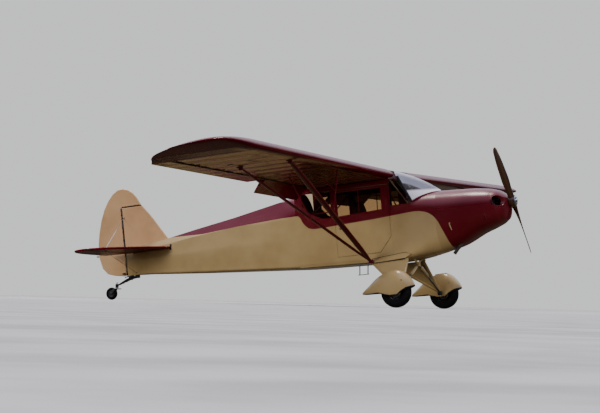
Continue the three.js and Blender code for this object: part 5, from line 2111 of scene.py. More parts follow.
        self.shop.pair(form, "lift_strut_skins", Slot.MAROON, [looks.maroon, looks.steel], "lift_struts")
        self.shop.pair(jury, "jury_strut_skins", Slot.MAROON, [looks.maroon], "jury_struts")

    def build_fittings(self) -> None:
        """Hinge brackets, inspection plates, fuel caps, tie-down rings, near-black gap seals that paint the
        shade in the gaps, tip lamps and the pitot mast under the port wing."""
        looks = self.shop.looks
        form = Form()
        for y in (0.499, 1.15, 1.89, 2.6, 3.3, 4.0, 4.618):
            form.pad(self.under(-1.248, y) + np.array([0, 0, -0.003]), (0.034, 0.005, 0.006), 6, 4)
        for y in (2.25, 3.65):
            form.pad(self.under(-0.95, y) + np.array([0, 0, -0.001]), (0.04, 0.03, 0.002), 6, 4)
        cap = self.under(-0.42, 0.86) + np.array([0, 0, 0.1838])
        form.lathe([(0.005, -0.004), (0.042, -0.004), (0.042, 0.008), (0.036, 0.013), (0.005, 0.014)],
                   cap, (0, 0, 1), 30, 1)
        form.pad(cap + np.array([0, 0, 0.016]), (0.028, 0.006, 0.005), 5, 1)
        ring = self.under(-0.62, 3.22)
        turn = np.linspace(0, np.pi, 14)
        form.tube(places(ring[0] + 0.016 * np.cos(turn), ring[1], ring[2] - 0.026 * np.sin(turn)),
                  0.003, 8, 1)
        # A near-black seal tube along the flap and aileron gap: a seal that also paints the shade in the
        # gap.
        gap = np.linspace(0.5, 4.61, 60)
        seal_and_gap_shade = places(-self.rear_face * self.chord + 0.009, gap,
                      self.flat + self.dihedral * gap + 0.002)
        form.tube(seal_and_gap_shade, 0.0088, 8, 2)
        for name, side in SIDES:
            whole = Form().merge(form, side)
            tip = np.array([-0.06, side * 4.93, self.flat + self.dihedral * 4.93 + 0.075])
            whole.pad(tip, (0.035, 0.022, 0.016), 2.5, 3)
            if side > 0:
                mast = self.under(-0.02, 2.86)
                post = mast + np.array([(-0.1, 0, 0.004), (-0.08, 0, -0.1)])
                head = mast + np.array([(-0.16, 0, -0.1), (0.14, 0, -0.1)])
                whole.tube(post, 0.007, 10, 1)
                whole.tube(head, np.array([0.006, 0.0075]), 12, 1)
            lens = looks.red if side > 0 else looks.green
            self.shop.place(whole, f"wing_fittings_{name}", Body.AIRFRAME, Slot.MAROON,
                            [looks.maroon, looks.bright, looks.shadow, lens, looks.wing_under])

    def build_roof(self) -> None:
        """Skin between the wings over a hollow ceiling, with its front and rear beams."""
        looks = self.shop.looks
        u = np.linspace(0.054, 0.999, 46)
        x = -u * self.chord
        top = self.flat + self.heights(u, 1) * self.chord
        y = np.linspace(-0.3467, 0.3467, 13)
        grid = places(x[:, None], y[None], top[:, None])
        form = Form().shell(grid, 0.02)
        form.looks[0][(len(x) - 1) * (len(y) - 1):] = 1
        for first, last in ((0.055, 0.094), (0.905, 1.0)):
            share = np.linspace(first, last, 8)
            height = self.heights(share, 1) * self.chord - 0.004
            outline = np.concatenate([
                np.stack([-share * self.chord, self.flat + np.maximum(height, 0.003)], -1),
                np.stack([-share[::-1] * self.chord, np.full(8, self.flat)], -1),
            ])
            form.loft(np.stack([places(outline[:, 0], end, outline[:, 1]) for end in y[[0, -1]]]))
        self.shop.place(form, "roof_skin", Body.AIRFRAME, Slot.MAROON, [looks.maroon_cloth, looks.lining],
                        ["cabin_roof"])

    def build(self) -> None:
        """Makes both wings and all that hangs on them."""
        looks = self.shop.looks
        self.shop.pair(self.build_panel(), "wing_skin", Slot.MAROON, [looks.wing_top, looks.wing_under],
                       "wing", sharp=40)
        self.build_surfaces()
        self.build_struts()
        self.build_fittings()
        self.build_roof()


@dataclass
class MainGear:
    """Legs, shock struts, spats and wheels."""

    shop: Workshop
    track: float = 0.928
    tyre_radius: float = 0.2225

    WHEEL_X = 0.134
    WHEEL_Z = -1.174
    SPAT = (
        (-0.382, 0.008, -1.142, -1.162), (-0.26, 0.06, -1.052, -1.19), (-0.13, 0.098, -0.952, -1.26),
        (0.02, 0.122, -0.886, -1.33), (0.15, 0.128, -0.868, -1.35), (0.27, 0.118, -0.906, -1.32),
        (0.36, 0.088, -0.992, -1.24), (0.404, 0.042, -1.066, -1.154), (0.416, 0.012, -1.096, -1.122),
    )
    SPAT_EDGE = (
        (-0.42, -1.166), (-0.095, -1.166), (-0.01, -1.194), (0.08, -1.216), (0.19, -1.214),
        (0.262, -1.162), (0.335, -1.126), (0.44, -1.102),
    )

    def build_legs(self) -> None:
        """Two-membered leg with its cover sheet, shock strut in its cover, and the step."""
        looks = self.shop.looks
        end = np.array([0.134, 0.762, -1.156])
        front, rear = np.array([0.09, 0.322, -0.7]), np.array([-0.425, 0.322, -0.712])
        leg = Form().fairing(front, end, 0.052, 0.034, 0, 12).fairing(rear, end, 0.044, 0.028, 0, 12)
        down = np.linspace(0.0, 0.94, 18)[:, None, None]
        across = np.linspace(0, 1, 12)[None, :, None]
        web = (front + (end - front) * down) * (1 - across) + (rear + (end - rear) * down) * across
        leg.shell(web + np.array([0, 0.005, 0.005]), 0.012)
        leg.tube([(0.136, 0.75, -1.174), (0.134, 1.012, -1.174)], 0.016, 20, 1)
        leg.pad((0.134, 0.752, -1.165), (0.035, 0.03, 0.035), 3, 1)
        for root in (front, rear):
            leg.pad(root + np.array([0, -0.012, 0.018]), (0.03, 0.024, 0.02), 4, 0)
            leg.bolt(root + np.array([0.028, -0.008, 0.016]), (1, 0, 0), 0.009, 1)
        strut = Form().tube([(0.13, 0.012, -0.754), (0.134, 0.752, -1.151)], 0.0115, 16, 1)
        cover = [(0.02, 0.0), (0.026, 0.012), (0.028, 0.03), (0.028, 0.25), (0.024, 0.262),
                 (0.0125, 0.266)]
        strut.lathe(cover, (0.13, 0.088, -0.795), (0, 0.888, -0.46), 24, 0)
        strut.pad((0.134, 0.75, -1.15), (0.018, 0.024, 0.018), 3, 1)
        self.shop.pair(leg, "gear_leg_skins", Slot.CREAM, [looks.cream, looks.dark], "gear_leg")
        self.shop.pair(strut, "shock_strut_tubes", Slot.STEEL, [looks.cream, looks.steel], "shock_strut")
        self.shop.dress(looks.cream, "gear_cabane")
        step = Form()
        for x in (-0.652, -0.52):
            step.fairing((x, -0.322, -0.638), (x * 0.98 - 0.012, -0.362, -0.838), 0.018, 0.011, 0, 8)
        step.fairing((-0.665, -0.365, -0.842), (-0.51, -0.365, -0.842), 0.05, 0.012, 0, 12, (0, 1, 0))
        self.shop.place(step, "boarding_step_bars", Body.AIRFRAME, Slot.DARK_STEEL, [looks.steel],
                        ["boarding_step"])

    def build_spats(self) -> None:
        """Wheel fairings: superellipse sections over a smooth side view, open below the
        edge line, each column of points running from one lower edge over the top."""
        looks = self.shop.looks
        tail, front = self.SPAT[0][0], self.SPAT[-1][0]
        share = np.linspace(0, 1, 64)
        x = tail + (front - tail) * (share - 0.04 * np.sin(2 * np.pi * share))
        width, top, bottom = (smooth(x, self.SPAT, n) for n in (1, 2, 3))
        middle, half = (top + bottom) / 2, (top - bottom) / 2
        edge = straight(x, self.SPAT_EDGE, 1)
        cut = np.clip((edge - middle) / half, -1, 1)
        power = 2.3
        start = np.arcsin(np.sign(cut) * np.abs(cut) ** (power / 2))
        turn = start[:, None] + (np.pi - 2 * start)[:, None] * np.linspace(0, 1, 61)[None]
        across, up = superellipse(turn, power)
        y = width[:, None] * across
        z = middle[:, None] + half[:, None] * up * np.sign(np.sin(turn))
        grid = places(x[:, None], y, z)
        spat = Form().shell(grid, -0.005)
        rim = grid[:, [0, -1]]
        open_ = (edge - bottom) > 0.004
        # A near-black tube along each open lower edge is painted shade of the opening.
        for n in (0, 1):
            spat.tube(rim[open_, n], 0.0085, 8, 1)
        spat.fairing((0.2, 0, -0.876), (0.02, 0, -0.88), 0.034, 0.034, 0, 9, (0, 1, 0))
        for place in ((0.27, 0.116, -1.02), (-0.08, 0.106, -1.06), (-0.2, 0.076, -1.12)):
            spat.bolt(place, (0, 1, 0), 0.006, 2)
            spat.bolt((place[0], -place[1], place[2]), (0, -1, 0), 0.006, 2)
        spat.points = [points + np.array([0, self.track, 0]) for points in spat.points]
        self.shop.pair(spat, "wheel_spat_skin", Slot.CREAM, [looks.cream, looks.dark, looks.steel],
                       "wheel_spat")

    def build_wheels(self) -> None:
        """Grooved tyres on cast rims with a brake disc and a hub cap."""
        looks = self.shop.looks
        r = self.tyre_radius
        half = [(r - 0.0055, 0.0), (r - 0.0055, 0.003), (r, 0.005), (r - 0.0006, 0.019),
                (r - 0.006, 0.0205), (r - 0.006, 0.0245), (r - 0.0015, 0.026), (r - 0.004, 0.04),
                (r - 0.0095, 0.0415), (r - 0.0098, 0.045), (r - 0.0065, 0.047), (r - 0.013, 0.059),
                (r - 0.024, 0.068),
                (r - 0.045, 0.0755), (r - 0.07, 0.0755), (r - 0.094, 0.069), (r - 0.108, 0.059),
                (r - 0.1175, 0.052), (r - 0.1215, 0.046), (r - 0.12, 0.02)]
        profile = both_ways(half, 1)
        bead = r - 0.1225
        disc = [(0.024, 0.03), (0.032, 0.034), (0.034, 0.05), (0.05, 0.052), (0.058, 0.036), (0.078, 0.03),
                (0.09, 0.04), (bead - 0.004, 0.056), (bead + 0.009, 0.0605), (bead + 0.011, 0.056),
                (bead, 0.05), (bead - 0.002, 0.03), (bead - 0.003, 0.0)]
        rim = [(0.0205, 0.0)] + both_ways(disc)
        bodies = {"left": Body.WHEEL_LEFT, "right": Body.WHEEL_RIGHT}
        for name, side in SIDES:
            hub = (self.WHEEL_X, side * self.track, self.WHEEL_Z)
            tyre = Form().lathe(profile, hub, (0, 1, 0), 96, 0, closed=True)
            self.shop.place(tyre, f"tyre_tread_{name}", bodies[name], Slot.TYRE, [looks.rubber],
                            [f"tyre_{name}"], 50)
            wheel = Form().lathe(rim, hub, (0, 1, 0), 72, 0, closed=True)
            wheel.lathe([(0.03, -0.052), (0.068, -0.052), (0.068, -0.047), (0.03, -0.047)],
                        hub, (0, side, 0), 48, 1, closed=True)
            for angle in np.arange(6) * np.pi / 3:
                place = np.array(hub) + 0.066 * np.array([np.cos(angle), 0, np.sin(angle)])
                for way in (1, -1):
                    wheel.bolt(place + np.array([0, way * 0.0335, 0]), (0, way, 0), 0.007, 1)
            self.shop.place(wheel, f"wheel_casting_{name}", bodies[name], Slot.WHEEL,
                            [looks.bright, looks.steel], [f"wheel_rim_{name}"])
        caps = Form()
        for _, side in SIDES:
            middle = np.array([self.WHEEL_X, side * 1.0, self.WHEEL_Z])
            caps.lathe([(0.004, 0.0), (0.024, 0.0), (0.024, 0.006), (0.018, 0.012), (0.004, 0.014)],
                       middle, (0, side, 0), 28)
        self.shop.place(caps, "axle_caps", Body.AIRFRAME, Slot.DARK_STEEL, [looks.dark])

    def build(self) -> None:
        """Makes the whole undercarriage."""
        self.build_legs()
        self.build_spats()
        self.build_wheels()


def dense_outline(corners: Sequence[Sequence[float]], step: float) -> np.ndarray:
    """Closed outline through corners, with points no further apart than a step.

    Args:
        corners: two coordinates each.
        step: in metres.

    Returns:
        The outline's points.
    """
    table = np.asarray(corners, float)
    parts = []
    for a, b in zip(table, np.roll(table, -1, axis=0)):
        count = max(2, int(np.ceil(np.linalg.norm(b - a) / step)))
        parts.append(a + (b - a) * np.linspace(0, 1, count, endpoint=False)[:, None])
    return np.concatenate(parts)


def frame_panel(outline: np.ndarray, thick: float,
                heart: Sequence[float] | None = None) -> np.ndarray:
    """Rings of a cloth-covered panel on a tube frame: a half-round edge, then a shallow
    step behind the tube, then the cloth, drawn in to the middle by even shares.

    Args:
        outline: its corners in the panel's plane, as many rows of two.
        thick: of its edge tube.
        heart: where the cloth is drawn in to, a place that sees the whole outline; the
            corners' mean if left out.

    Returns:
        Rings as rings, points, plane and height.
    """
    way = units(np.roll(outline, -1, axis=0) - np.roll(outline, 1, axis=0))
    inward = np.stack([-way[:, 1], way[:, 0]], axis=1)
    (x, z), (next_x, next_z) = outline.T, np.roll(outline, -1, axis=0).T
    inward *= np.sign((x * next_z - z * next_x).sum())
    radius = thick / 2
    middle = outline.mean(axis=0) if heart is None else np.array(heart)
    rows = []
    for turn in np.linspace(0, np.pi / 2, 7):
        rows.append((outline + inward * radius * (1 - np.cos(turn)), radius * np.sin(turn)))
    rows.append((outline + inward * radius * 1.6, radius * 0.97))
    behind = outline + inward * radius * 2.6
    rows.append((behind, radius * 0.84))
    for share in (0.88, 0.74, 0.6, 0.45, 0.3, 0.16, 0.06, 0.01):
        rows.append((middle + (behind - middle) * share, radius * (0.78 + 0.04 * (1 - share))))
    half = [np.concatenate([place, np.full((len(place), 1), height)], 1) for place, height in rows]
    flip = np.array([1, 1, -1.0])
    return np.stack(half[::-1] + [ring * flip for ring in half[1:]])


@dataclass
class Empennage:
    """Fin, rudder, tailplane, elevator and their bracing wires."""

    shop: Workshop
    stab_z: float = -0.087

    FIN = (
        (-3.975, 0.06), (-4.05, 0.165), (-4.128, 0.275), (-4.212, 0.395), (-4.288, 0.495),
        (-4.355, 0.573), (-4.409, 0.635), (-4.770, 0.631), (-4.752, -0.02), (-4.3, -0.02),
    )
    RUDDER = (
        (-4.424, 0.649), (-4.494, 0.776), (-4.56, 0.852), (-4.64, 0.908), (-4.74, 0.934),
        (-4.83, 0.922), (-4.92, 0.866), (-5.01, 0.768), (-5.09, 0.64), (-5.16, 0.47),
        (-5.212, 0.27), (-5.24, 0.09), (-5.238, -0.12), (-5.19, -0.283), (-5.105, -0.375),
        (-4.99, -0.412), (-4.80, -0.44), (-4.769, -0.43), (-4.783, 0.10), (-4.798, 0.646),
    )
    STABILISER = (
        (-3.84, 0.0), (-3.86, 0.12), (-3.905, 0.34), (-3.99, 0.56), (-4.16, 0.9), (-4.25, 1.06),
        (-4.33, 1.18), (-4.40, 1.275), (-4.47, 1.345), (-4.53, 1.385), (-4.581, 1.41), (-4.581, 0.0),
    )
    ELEVATOR = (
        (-4.602, 0.082), (-4.602, 1.432), (-4.65, 1.441), (-4.70, 1.44), (-4.77, 1.42), (-4.83, 1.385),
        (-4.885, 1.32), (-4.93, 1.23), (-4.965, 1.12), (-4.99, 0.98), (-5.008, 0.81), (-5.015, 0.64),
        (-5.018, 0.215), (-4.8, 0.15),
    )

    def upright(self, corners: Sequence[Sequence[float]], thick: float,
                heart: Sequence[float] | None = None) -> np.ndarray:
        """Rings of a panel that stands in the plane of symmetry."""
        rings = frame_panel(dense_outline(corners, 0.03), thick, heart)
        return rings[..., [0, 2, 1]]

    def lying(self, corners: Sequence[Sequence[float]], thick: float) -> np.ndarray:
        """Rings of a panel that lies at the tailplane's height."""
        return frame_panel(dense_outline(corners, 0.03), thick) + np.array([0, 0, self.stab_z])

    def build_upright(self) -> None:
        """Fin with its post, upper edge strip and hinge plates in the near-black shadow finish, painted
        shade along the hinge gap, and the rudder with its steering horns and tail lamp."""
        looks = self.shop.looks
        fin = Form().loft(self.upright(self.FIN, 0.026))
        # Post tube, top strip and hinge plates take look 1, the near-black shadow finish: painted shade
        # along the hinge gap.
        fin.tube([(-4.7525, 0, -0.43), (-4.7805, 0, 0.632)], 0.0125, 14, 1)
        fin.pad((-4.598, 0, 0.6402), (0.181, 0.0132, 0.0068), 10, 1)
        for z in (0.52, 0.12):
            fin.pad((-4.772 - 0.03 * z, 0, z), (0.03, 0.006, 0.014), 5, 1)
        self.shop.place(fin, "fin_cloth", Body.AIRFRAME, Slot.CREAM, [looks.tail_cloth, looks.shadow],
                        ["fin"])
        rudder = Form().loft(self.upright(self.RUDDER, 0.026, (-4.9, 0.72)))
        for side in (1, -1):
            rudder.tube([(-4.80, side * 0.012, -0.40), (-4.79, side * 0.085, -0.405)],
                        np.array([0.019, 0.011]), 10, 1)
            rudder.bolt((-4.79, side * 0.068, -0.398), (0, 0, 1), 0.007, 2)
        rudder.pad((-5.268, 0, -0.08), (0.024, 0.015, 0.022), 2.4, 3)
        self.shop.place(rudder, "rudder_cloth", Body.RUDDER, Slot.CREAM,
                        [looks.tail_cloth, looks.dark, looks.steel, looks.lamp], ["rudder"])

    def build_lying(self) -> None:
        """Tailplane halves and the elevator on its torque tube."""
        looks = self.shop.looks
        plane = Form().loft(self.lying(self.STABILISER, 0.034))
        plane.tube([(-4.60, 0.14, self.stab_z), (-4.585, 0.14, self.stab_z)], 0.012, 10, 0)
        for y in (0.3, 0.85, 1.36):
            plane.pad((-4.588, y, self.stab_z), (0.016, 0.012, 0.014), 4, 1)
        # The dark pad at the root's leading edge is painted shade of the open trim slot.
        plane.pad((-3.868, 0.148, self.stab_z), (0.013, 0.012, 0.052), 6, 2)
        self.shop.pair(plane, "tailplane_cloth", Slot.MAROON,
                       [looks.tail_maroon, looks.steel, looks.dark], "stabiliser")
        half = Form().loft(self.lying(self.ELEVATOR, 0.03))
        whole = Form().merge(half).merge(half, -1)
        whole.tube([(-4.603, -0.13, self.stab_z), (-4.603, 0.13, self.stab_z)], 0.013, 16, 0)
        whole.pad((-4.603, 0, self.stab_z - 0.03), (0.012, 0.01, 0.035), 4, 1)
        self.shop.place(whole, "elevator_cloth", Body.ELEVATOR, Slot.MAROON,
                        [looks.tail_maroon, looks.dark], ["elevator"])

    def build_wires(self) -> None:
        """Streamlined bracing wires with round shanks, tapered necks and end tabs."""
        looks = self.shop.looks
        ends = {
            "upper": ((-4.745, 0.02, 0.47), (-4.56, 0.95, -0.067)),
            "lower": ((-4.557, 0.03, -0.42), (-4.56, 0.95, -0.107)),
        }
        for place, (start, end) in ends.items():
            low, high = np.array(start), np.array(end)
            way = unit(high - low)
            form = Form().fairing(low, high, 0.0085, 0.0045, 0, 4)
            for tip, sign in ((low, 1), (high, -1)):
                form.tube([tip, tip + way * sign * 0.05], 0.005, 10, 0)
                form.tube([tip + way * sign * 0.05, tip + way * sign * 0.075],
                          np.array([0.0045, 0.0025]), 10, 0)
                form.pad(tip, (0.014, 0.008, 0.012), 4, 0)
            # Upper wires take the polished alloy and lower ones the duller steel: lit and shaded copies of
            # one wire, a painted highlight above.
            metal = looks.bright if place == "upper" else looks.steel
            self.shop.pair(form, f"tail_wire_{place}_rod", Slot.STEEL, [metal], f"tail_wire_{place}")

    def build(self) -> None:
        """Makes the whole tail."""
        self.build_upright()
        self.build_lying()
        self.build_wires()


@dataclass
class TailGear:
    """Leaf spring, castoring fork and tail wheel."""

    shop: Workshop
    wheel_x: float = -5.064
    wheel_z: float = -0.685
    radius: float = 0.097
    half: float = 0.029

    SPRING = ((-4.55, -0.456), (-4.64, -0.461), (-4.74, -0.484), (-4.85, -0.529), (-4.945, -0.574))

    def build(self) -> None:
        """Makes the spring's leaves, the fork and the wheel."""
        looks = self.shop.looks
        leaves = Form()
        for n, reach in enumerate((1.0, 0.92, 0.8, 0.62)):
            path = curve_through(self.SPRING, 41)[: int(41 * reach)]
            drop = 0.004 - 0.0098 * n
            rings = []
            for y, z in ((-0.026, -0.0045), (0.026, -0.0045), (0.026, 0.0045), (-0.026, 0.0045)):
                rings.append(places(path[:, 0], y, path[:, 1] + drop + z))
            leaves.loft(np.stack(rings, axis=1), 0)
        leaves.pad((-4.7, 0, -0.478), (0.024, 0.036, 0.03), 5, 0)
        leaves.pad((-4.575, 0, -0.462), (0.03, 0.038, 0.026), 5, 0)
        for side in (1, -1):
            leaves.tube([(-4.615, side * 0.04, -0.45), (-4.70, side * 0.055, -0.452),
                         (-4.77, side * 0.062, -0.462)], 0.008, 10, 0)
        leaves.lathe([(0.0125, -0.034), (0.024, -0.034), (0.026, -0.028), (0.026, 0.022), (0.022, 0.03),
                      (0.0125, 0.03)], (-4.96, 0, -0.572), (0.13, 0, 1), 28, 0)
        self.shop.place(leaves, "tail_spring_leaves", Body.AIRFRAME, Slot.DARK_STEEL, [looks.dark],
                        ["tail_spring"])
        fork = Form()
        fork.pad((-4.99, 0, -0.618), (0.046, 0.043, 0.0085), 4, 0)
        for side in (1, -1):
            fork.fairing((-4.985, side * 0.037, -0.612), (self.wheel_x, side * 0.037, -0.695),
                         0.034, 0.009, 1, 8)
            fork.bolt((self.wheel_x, side * 0.043, self.wheel_z), (0, side, 0), 0.011, 1)
            fork.tube([(-4.955, side * 0.036, -0.622), (-4.935, side * 0.082, -0.62)],
                      np.array([0.009, 0.006]), 10, 0)
        fork.tube([(self.wheel_x, -0.045, self.wheel_z), (self.wheel_x, 0.045, self.wheel_z)], 0.008, 14, 1)
        fork.lathe([(0.004, 0.0), (0.017, 0.0), (0.017, 0.01), (0.012, 0.016), (0.004, 0.017)],
                   (-4.9535, 0, -0.536), (0.13, 0, 1), 20, 1)
        self.shop.place(fork, "tail_fork_arms", Body.TAIL_FORK, Slot.DARK_STEEL, [looks.dark, looks.steel],
                        ["tail_fork"])
        r, w = self.radius, self.half
        tyre = [(r, 0.0), (r - 0.001, w * 0.35), (r - 0.005, w * 0.68), (r - 0.014, w * 0.93),
                (r - 0.028, w), (r - 0.042, w * 0.86), (r - 0.048, w * 0.6), (r - 0.049, 0.0)]
        hub = (self.wheel_x, 0, self.wheel_z)
        wheel = Form().lathe(both_ways(tyre, 1, -1), hub, (0, 1, 0), 64, 0, closed=True)
        disc = [(0.0105, 0.0), (0.0105, 0.026), (0.02, 0.027), (0.022, 0.012), (0.038, 0.01), (0.044, 0.02),
                (0.0505, 0.021), (0.0505, 0.0)]
        wheel.lathe(both_ways(disc, 1, -1), hub, (0, 1, 0), 48, 1, closed=True)
        self.shop.place(wheel, "tail_wheel_tyre", Body.TAIL_WHEEL, Slot.TYRE, [looks.rubber, looks.steel],
                        ["tail_wheel"])


@dataclass
class Propeller:
    """Two-bladed laminated propeller on its hub."""

    shop: Workshop
    plane: float = 1.662
    radius: float = 0.94
    lean: float = 40.0

    BLADE = (
        (0.05, 0.092, 0.074, 60), (0.18, 0.096, 0.052, 44), (0.4, 0.138, 0.030, 30),
        (0.65, 0.140, 0.020, 22), (0.88, 0.112, 0.013, 17), (0.965, 0.085, 0.009, 15.5),
        (1.0, 0.044, 0.006, 15),
    )

    def blade(self) -> np.ndarray:
        """Sections of one upright blade: at turn t a point lies chord/2 cos t along the
        chord and thick/2 sin t across it, a third as deep on the flat side.

        Returns:
            Places as sections, points, xyz.
        """
        share = 0.05 + 0.95 * np.sin(np.linspace(0, np.pi / 2, 44))
        chord, thick, angle = (smooth(share, self.BLADE, n) for n in (1, 2, 3))
        turn = turns(40)[None]
        flat = np.interp(share, (0.12, 0.4), (1.0, 0.34))[:, None]
        depth = np.where(np.sin(turn) < 0, np.sin(turn) * flat, np.sin(turn))
        along = chord[:, None] / 2 * np.cos(turn)
        off = thick[:, None] / 2 * depth * (1 - 0.12 * np.cos(turn))
        lean = np.radians(angle)[:, None]
        x = self.plane + along * np.sin(lean) + off * np.cos(lean)
        y = along * np.cos(lean) - off * np.sin(lean)
        return places(x, y, self.radius * share[:, None])

    def build(self) -> None:
        """Makes both blades, the hub, its plate and bolts."""
        looks = self.shop.looks
        rings = self.blade()
        form = Form()
        for half_turn in (0, 180):
            angle = np.radians(half_turn + self.lean)
            turned = rings.copy()
            turned[..., 1] = rings[..., 1] * np.cos(angle) - rings[..., 2] * np.sin(angle)
            turned[..., 2] = rings[..., 1] * np.sin(angle) + rings[..., 2] * np.cos(angle)
            form.loft(turned)
            stations, around = np.arange(rings.shape[0] - 1)[:, None], np.arange(rings.shape[1])
            lead = (around < 5) | (around > 34)
            tipped = ((stations >= 26) & lead) | (stations >= 38)
            form.looks[-2] = tipped.astype(int).ravel()
        form.lathe([(0.05, -0.044), (0.08, -0.044), (0.084, -0.036), (0.084, 0.03), (0.078, 0.038),
                    (0.05, 0.038)], (self.plane, 0, 0), (1, 0, 0), 56, 0)
        form.lathe([(0.02, 0.0), (0.068, 0.0), (0.07, 0.003), (0.07, 0.01), (0.066, 0.013), (0.02, 0.013)],
                   (1.6995, 0, 0), (1, 0, 0), 56, 2)
        form.lathe([(0.006, 0.0), (0.022, 0.0), (0.022, 0.016), (0.017, 0.022), (0.006, 0.022)],
                   (1.7115, 0, 0), (1, 0, 0), 28, 2)
        for angle in np.arange(6) * np.pi / 3 + 0.3:
            form.bolt((1.7125, 0.047 * np.cos(angle), 0.047 * np.sin(angle)), (1, 0, 0), 0.0085, 2)
        form.lathe([(0.02, 1.42), (0.04, 1.42), (0.04, 1.6), (0.058, 1.604), (0.062, 1.6175),
                    (0.02, 1.6185)], (0, 0, 0), (1, 0, 0), 40, 2)
        self.shop.place(form, "propeller_blades", Body.PROPELLER, Slot.WOOD,
                        [looks.wood, looks.brass, looks.bright], ["propeller"], 45)


@dataclass
class Cabin:
    """Seats, dials, stick grip and pedals."""

    shop: Workshop

    DIALS = (
        (0.0, 0.1, 0.04), (0.1, 0.095, 0.04), (-0.1, 0.095, 0.04), (0.195, 0.06, 0.03),
        (-0.195, 0.06, 0.03), (0.05, 0.0, 0.03), (-0.05, 0.0, 0.03), (0.13, -0.01, 0.026),
    )

    def cushion(self, name: str, centre: Sequence[float], half: Sequence[float], lean: float,
                node: str = "") -> None:
        """One leather cushion: a crowned pad with a piped seam round it and sewn channels.

        Args:
            name: of the piece.
            centre: its middle.
            half: half sizes along its own axes.
            lean: turn about Y, in degrees.
            node: frame node that it stands for.
        """
        looks = self.shop.looks
        c, s = np.cos(np.radians(lean)), np.sin(np.radians(lean))
        axes = np.array([[c, 0, s], [0, 1, 0], [-s, 0, c]])
        form = Form().pad(centre, half, 5.5, 0, axes, 40, 96)
        points = form.points[0]
        local = (points - np.array(centre)) @ axes.T
        share = local / np.array(half)
        crown = np.clip(1 - np.abs(share[:, :2]) ** 2.5, 0, 1).prod(axis=1) * np.sign(local[:, 2])
        seam = np.abs(np.mod(local[:, 1] / 0.075 + 0.5, 1) - 0.5) * 0.075
        groove = np.exp(-((seam / 0.006) ** 2)) * (np.abs(share[:, 0]) < 0.93)
        lift = 0.12 * crown * half[2] - 0.004 * groove * np.sign(local[:, 2])
        form.points[0] = points + axes[2] * lift[:, None]
        turn = np.linspace(0, 2 * np.pi, 81)
        bend = [np.sign(f(turn)) * np.abs(f(turn)) ** (2 / 5.5) for f in (np.cos, np.sin)]
        seam_path = np.stack([bend[0] * half[0] * 1.003, bend[1] * half[1] * 1.003, 0 * turn], -1)
        form.tube(seam_path[:-1] @ axes + np.array(centre), 0.0045, 8, 1)
        piece = self.shop.place(form, name, Body.AIRFRAME, Slot.LEATHER, [looks.leather, looks.black],
                                [node] if node else [], 60)

    def build_seats(self) -> None:
        """Front seat and rear bench on their tube frames."""
        looks = self.shop.looks
        self.cushion("front_seat_cushion", (-0.40, 0, -0.385), (0.19, 0.212, 0.045), -3, "front_seat")
        self.cushion("front_seat_back", (-0.69, 0, -0.02), (0.3, 0.212, 0.032), -76)
        self.cushion("rear_seat_cushion", (-1.24, 0, -0.385), (0.175, 0.282, 0.045), -3, "rear_seat")
        self.cushion("rear_seat_back", (-1.49, 0, -0.06), (0.26, 0.28, 0.03), -80)
        tubes = Form()
        for x_front, x_back, half in ((-0.24, -0.63, 0.2), (-1.09, -1.45, 0.27)):
            for y in (-half, half):
                tubes.tube([(x_front, y, -0.438), (x_back, y, -0.438), (x_back - 0.13, y, 0.05)], 0.009, 12)
                for x in (x_front + 0.03, x_back + 0.02):
                    tubes.tube([(x, y, -0.44), (x - 0.02, y * 1.02, -0.63)], 0.009, 12)
        self.shop.place(tubes, "seat_tubes", Body.AIRFRAME, Slot.DARK_STEEL, [looks.dark])

    def build_controls(self) -> None:
        """Dials on the panel, the stick's grip, throttle knob and rudder pedals."""
        looks = self.shop.looks
        form = Form()
        face = 0.2225
        for y, z, radius in self.DIALS:
            ring = [(radius * 0.86, 0.0), (radius, 0.0), (radius, 0.006), (radius * 0.94, 0.009),
                    (radius * 0.86, 0.007)]
            form.lathe(ring, (face, y, z), (-1, 0, 0), 36, 0, closed=True)
            form.lathe([(0.002, 0.0), (radius * 0.88, 0.0), (radius * 0.88, 0.003), (0.002, 0.0032)],
                       (face, y, z), (-1, 0, 0), 30, 1)
            form.fairing((face - 0.004, y - radius * 0.1, z - radius * 0.2),
                         (face - 0.004, y + radius * 0.3, z + radius * 0.6), 0.002, 0.004, 2, 5)
        form.lathe([(0.003, 0.0), (0.006, 0.0), (0.006, 0.03), (0.014, 0.034), (0.016, 0.044),
                    (0.003, 0.05)], (face, 0.02, -0.07), (-1, 0, 0), 20, 3)
        self.shop.place(form, "panel_dials", Body.AIRFRAME, Slot.PANEL,
                        [looks.steel, looks.black, looks.dial, looks.red])
        grip = Form().lathe([(0.0115, 0.0), (0.0165, 0.006), (0.0175, 0.03), (0.0155, 0.06), (0.0175, 0.09),
                             (0.017, 0.108), (0.01, 0.116), (0.003, 0.118)],
                            (-0.0867, 0, -0.35), (-0.08, 0, 1), 24)
        for _, side in SIDES:
            for x, lean in ((0.44, 0.03), (-0.72, 0.02)):
                grip.tube([(x, side * 0.13, -0.61), (x + lean, side * 0.13, -0.5)], 0.007, 10)
                grip.tube([(x + lean, side * 0.085, -0.5), (x + lean, side * 0.175, -0.5)], 0.0095, 12)
        self.shop.place(grip, "stick_grip_and_pedals", Body.AIRFRAME, Slot.PANEL, [looks.black])

    def build(self) -> None:
        """Makes all that is inside the cabin."""
        self.build_seats()
        self.build_controls()


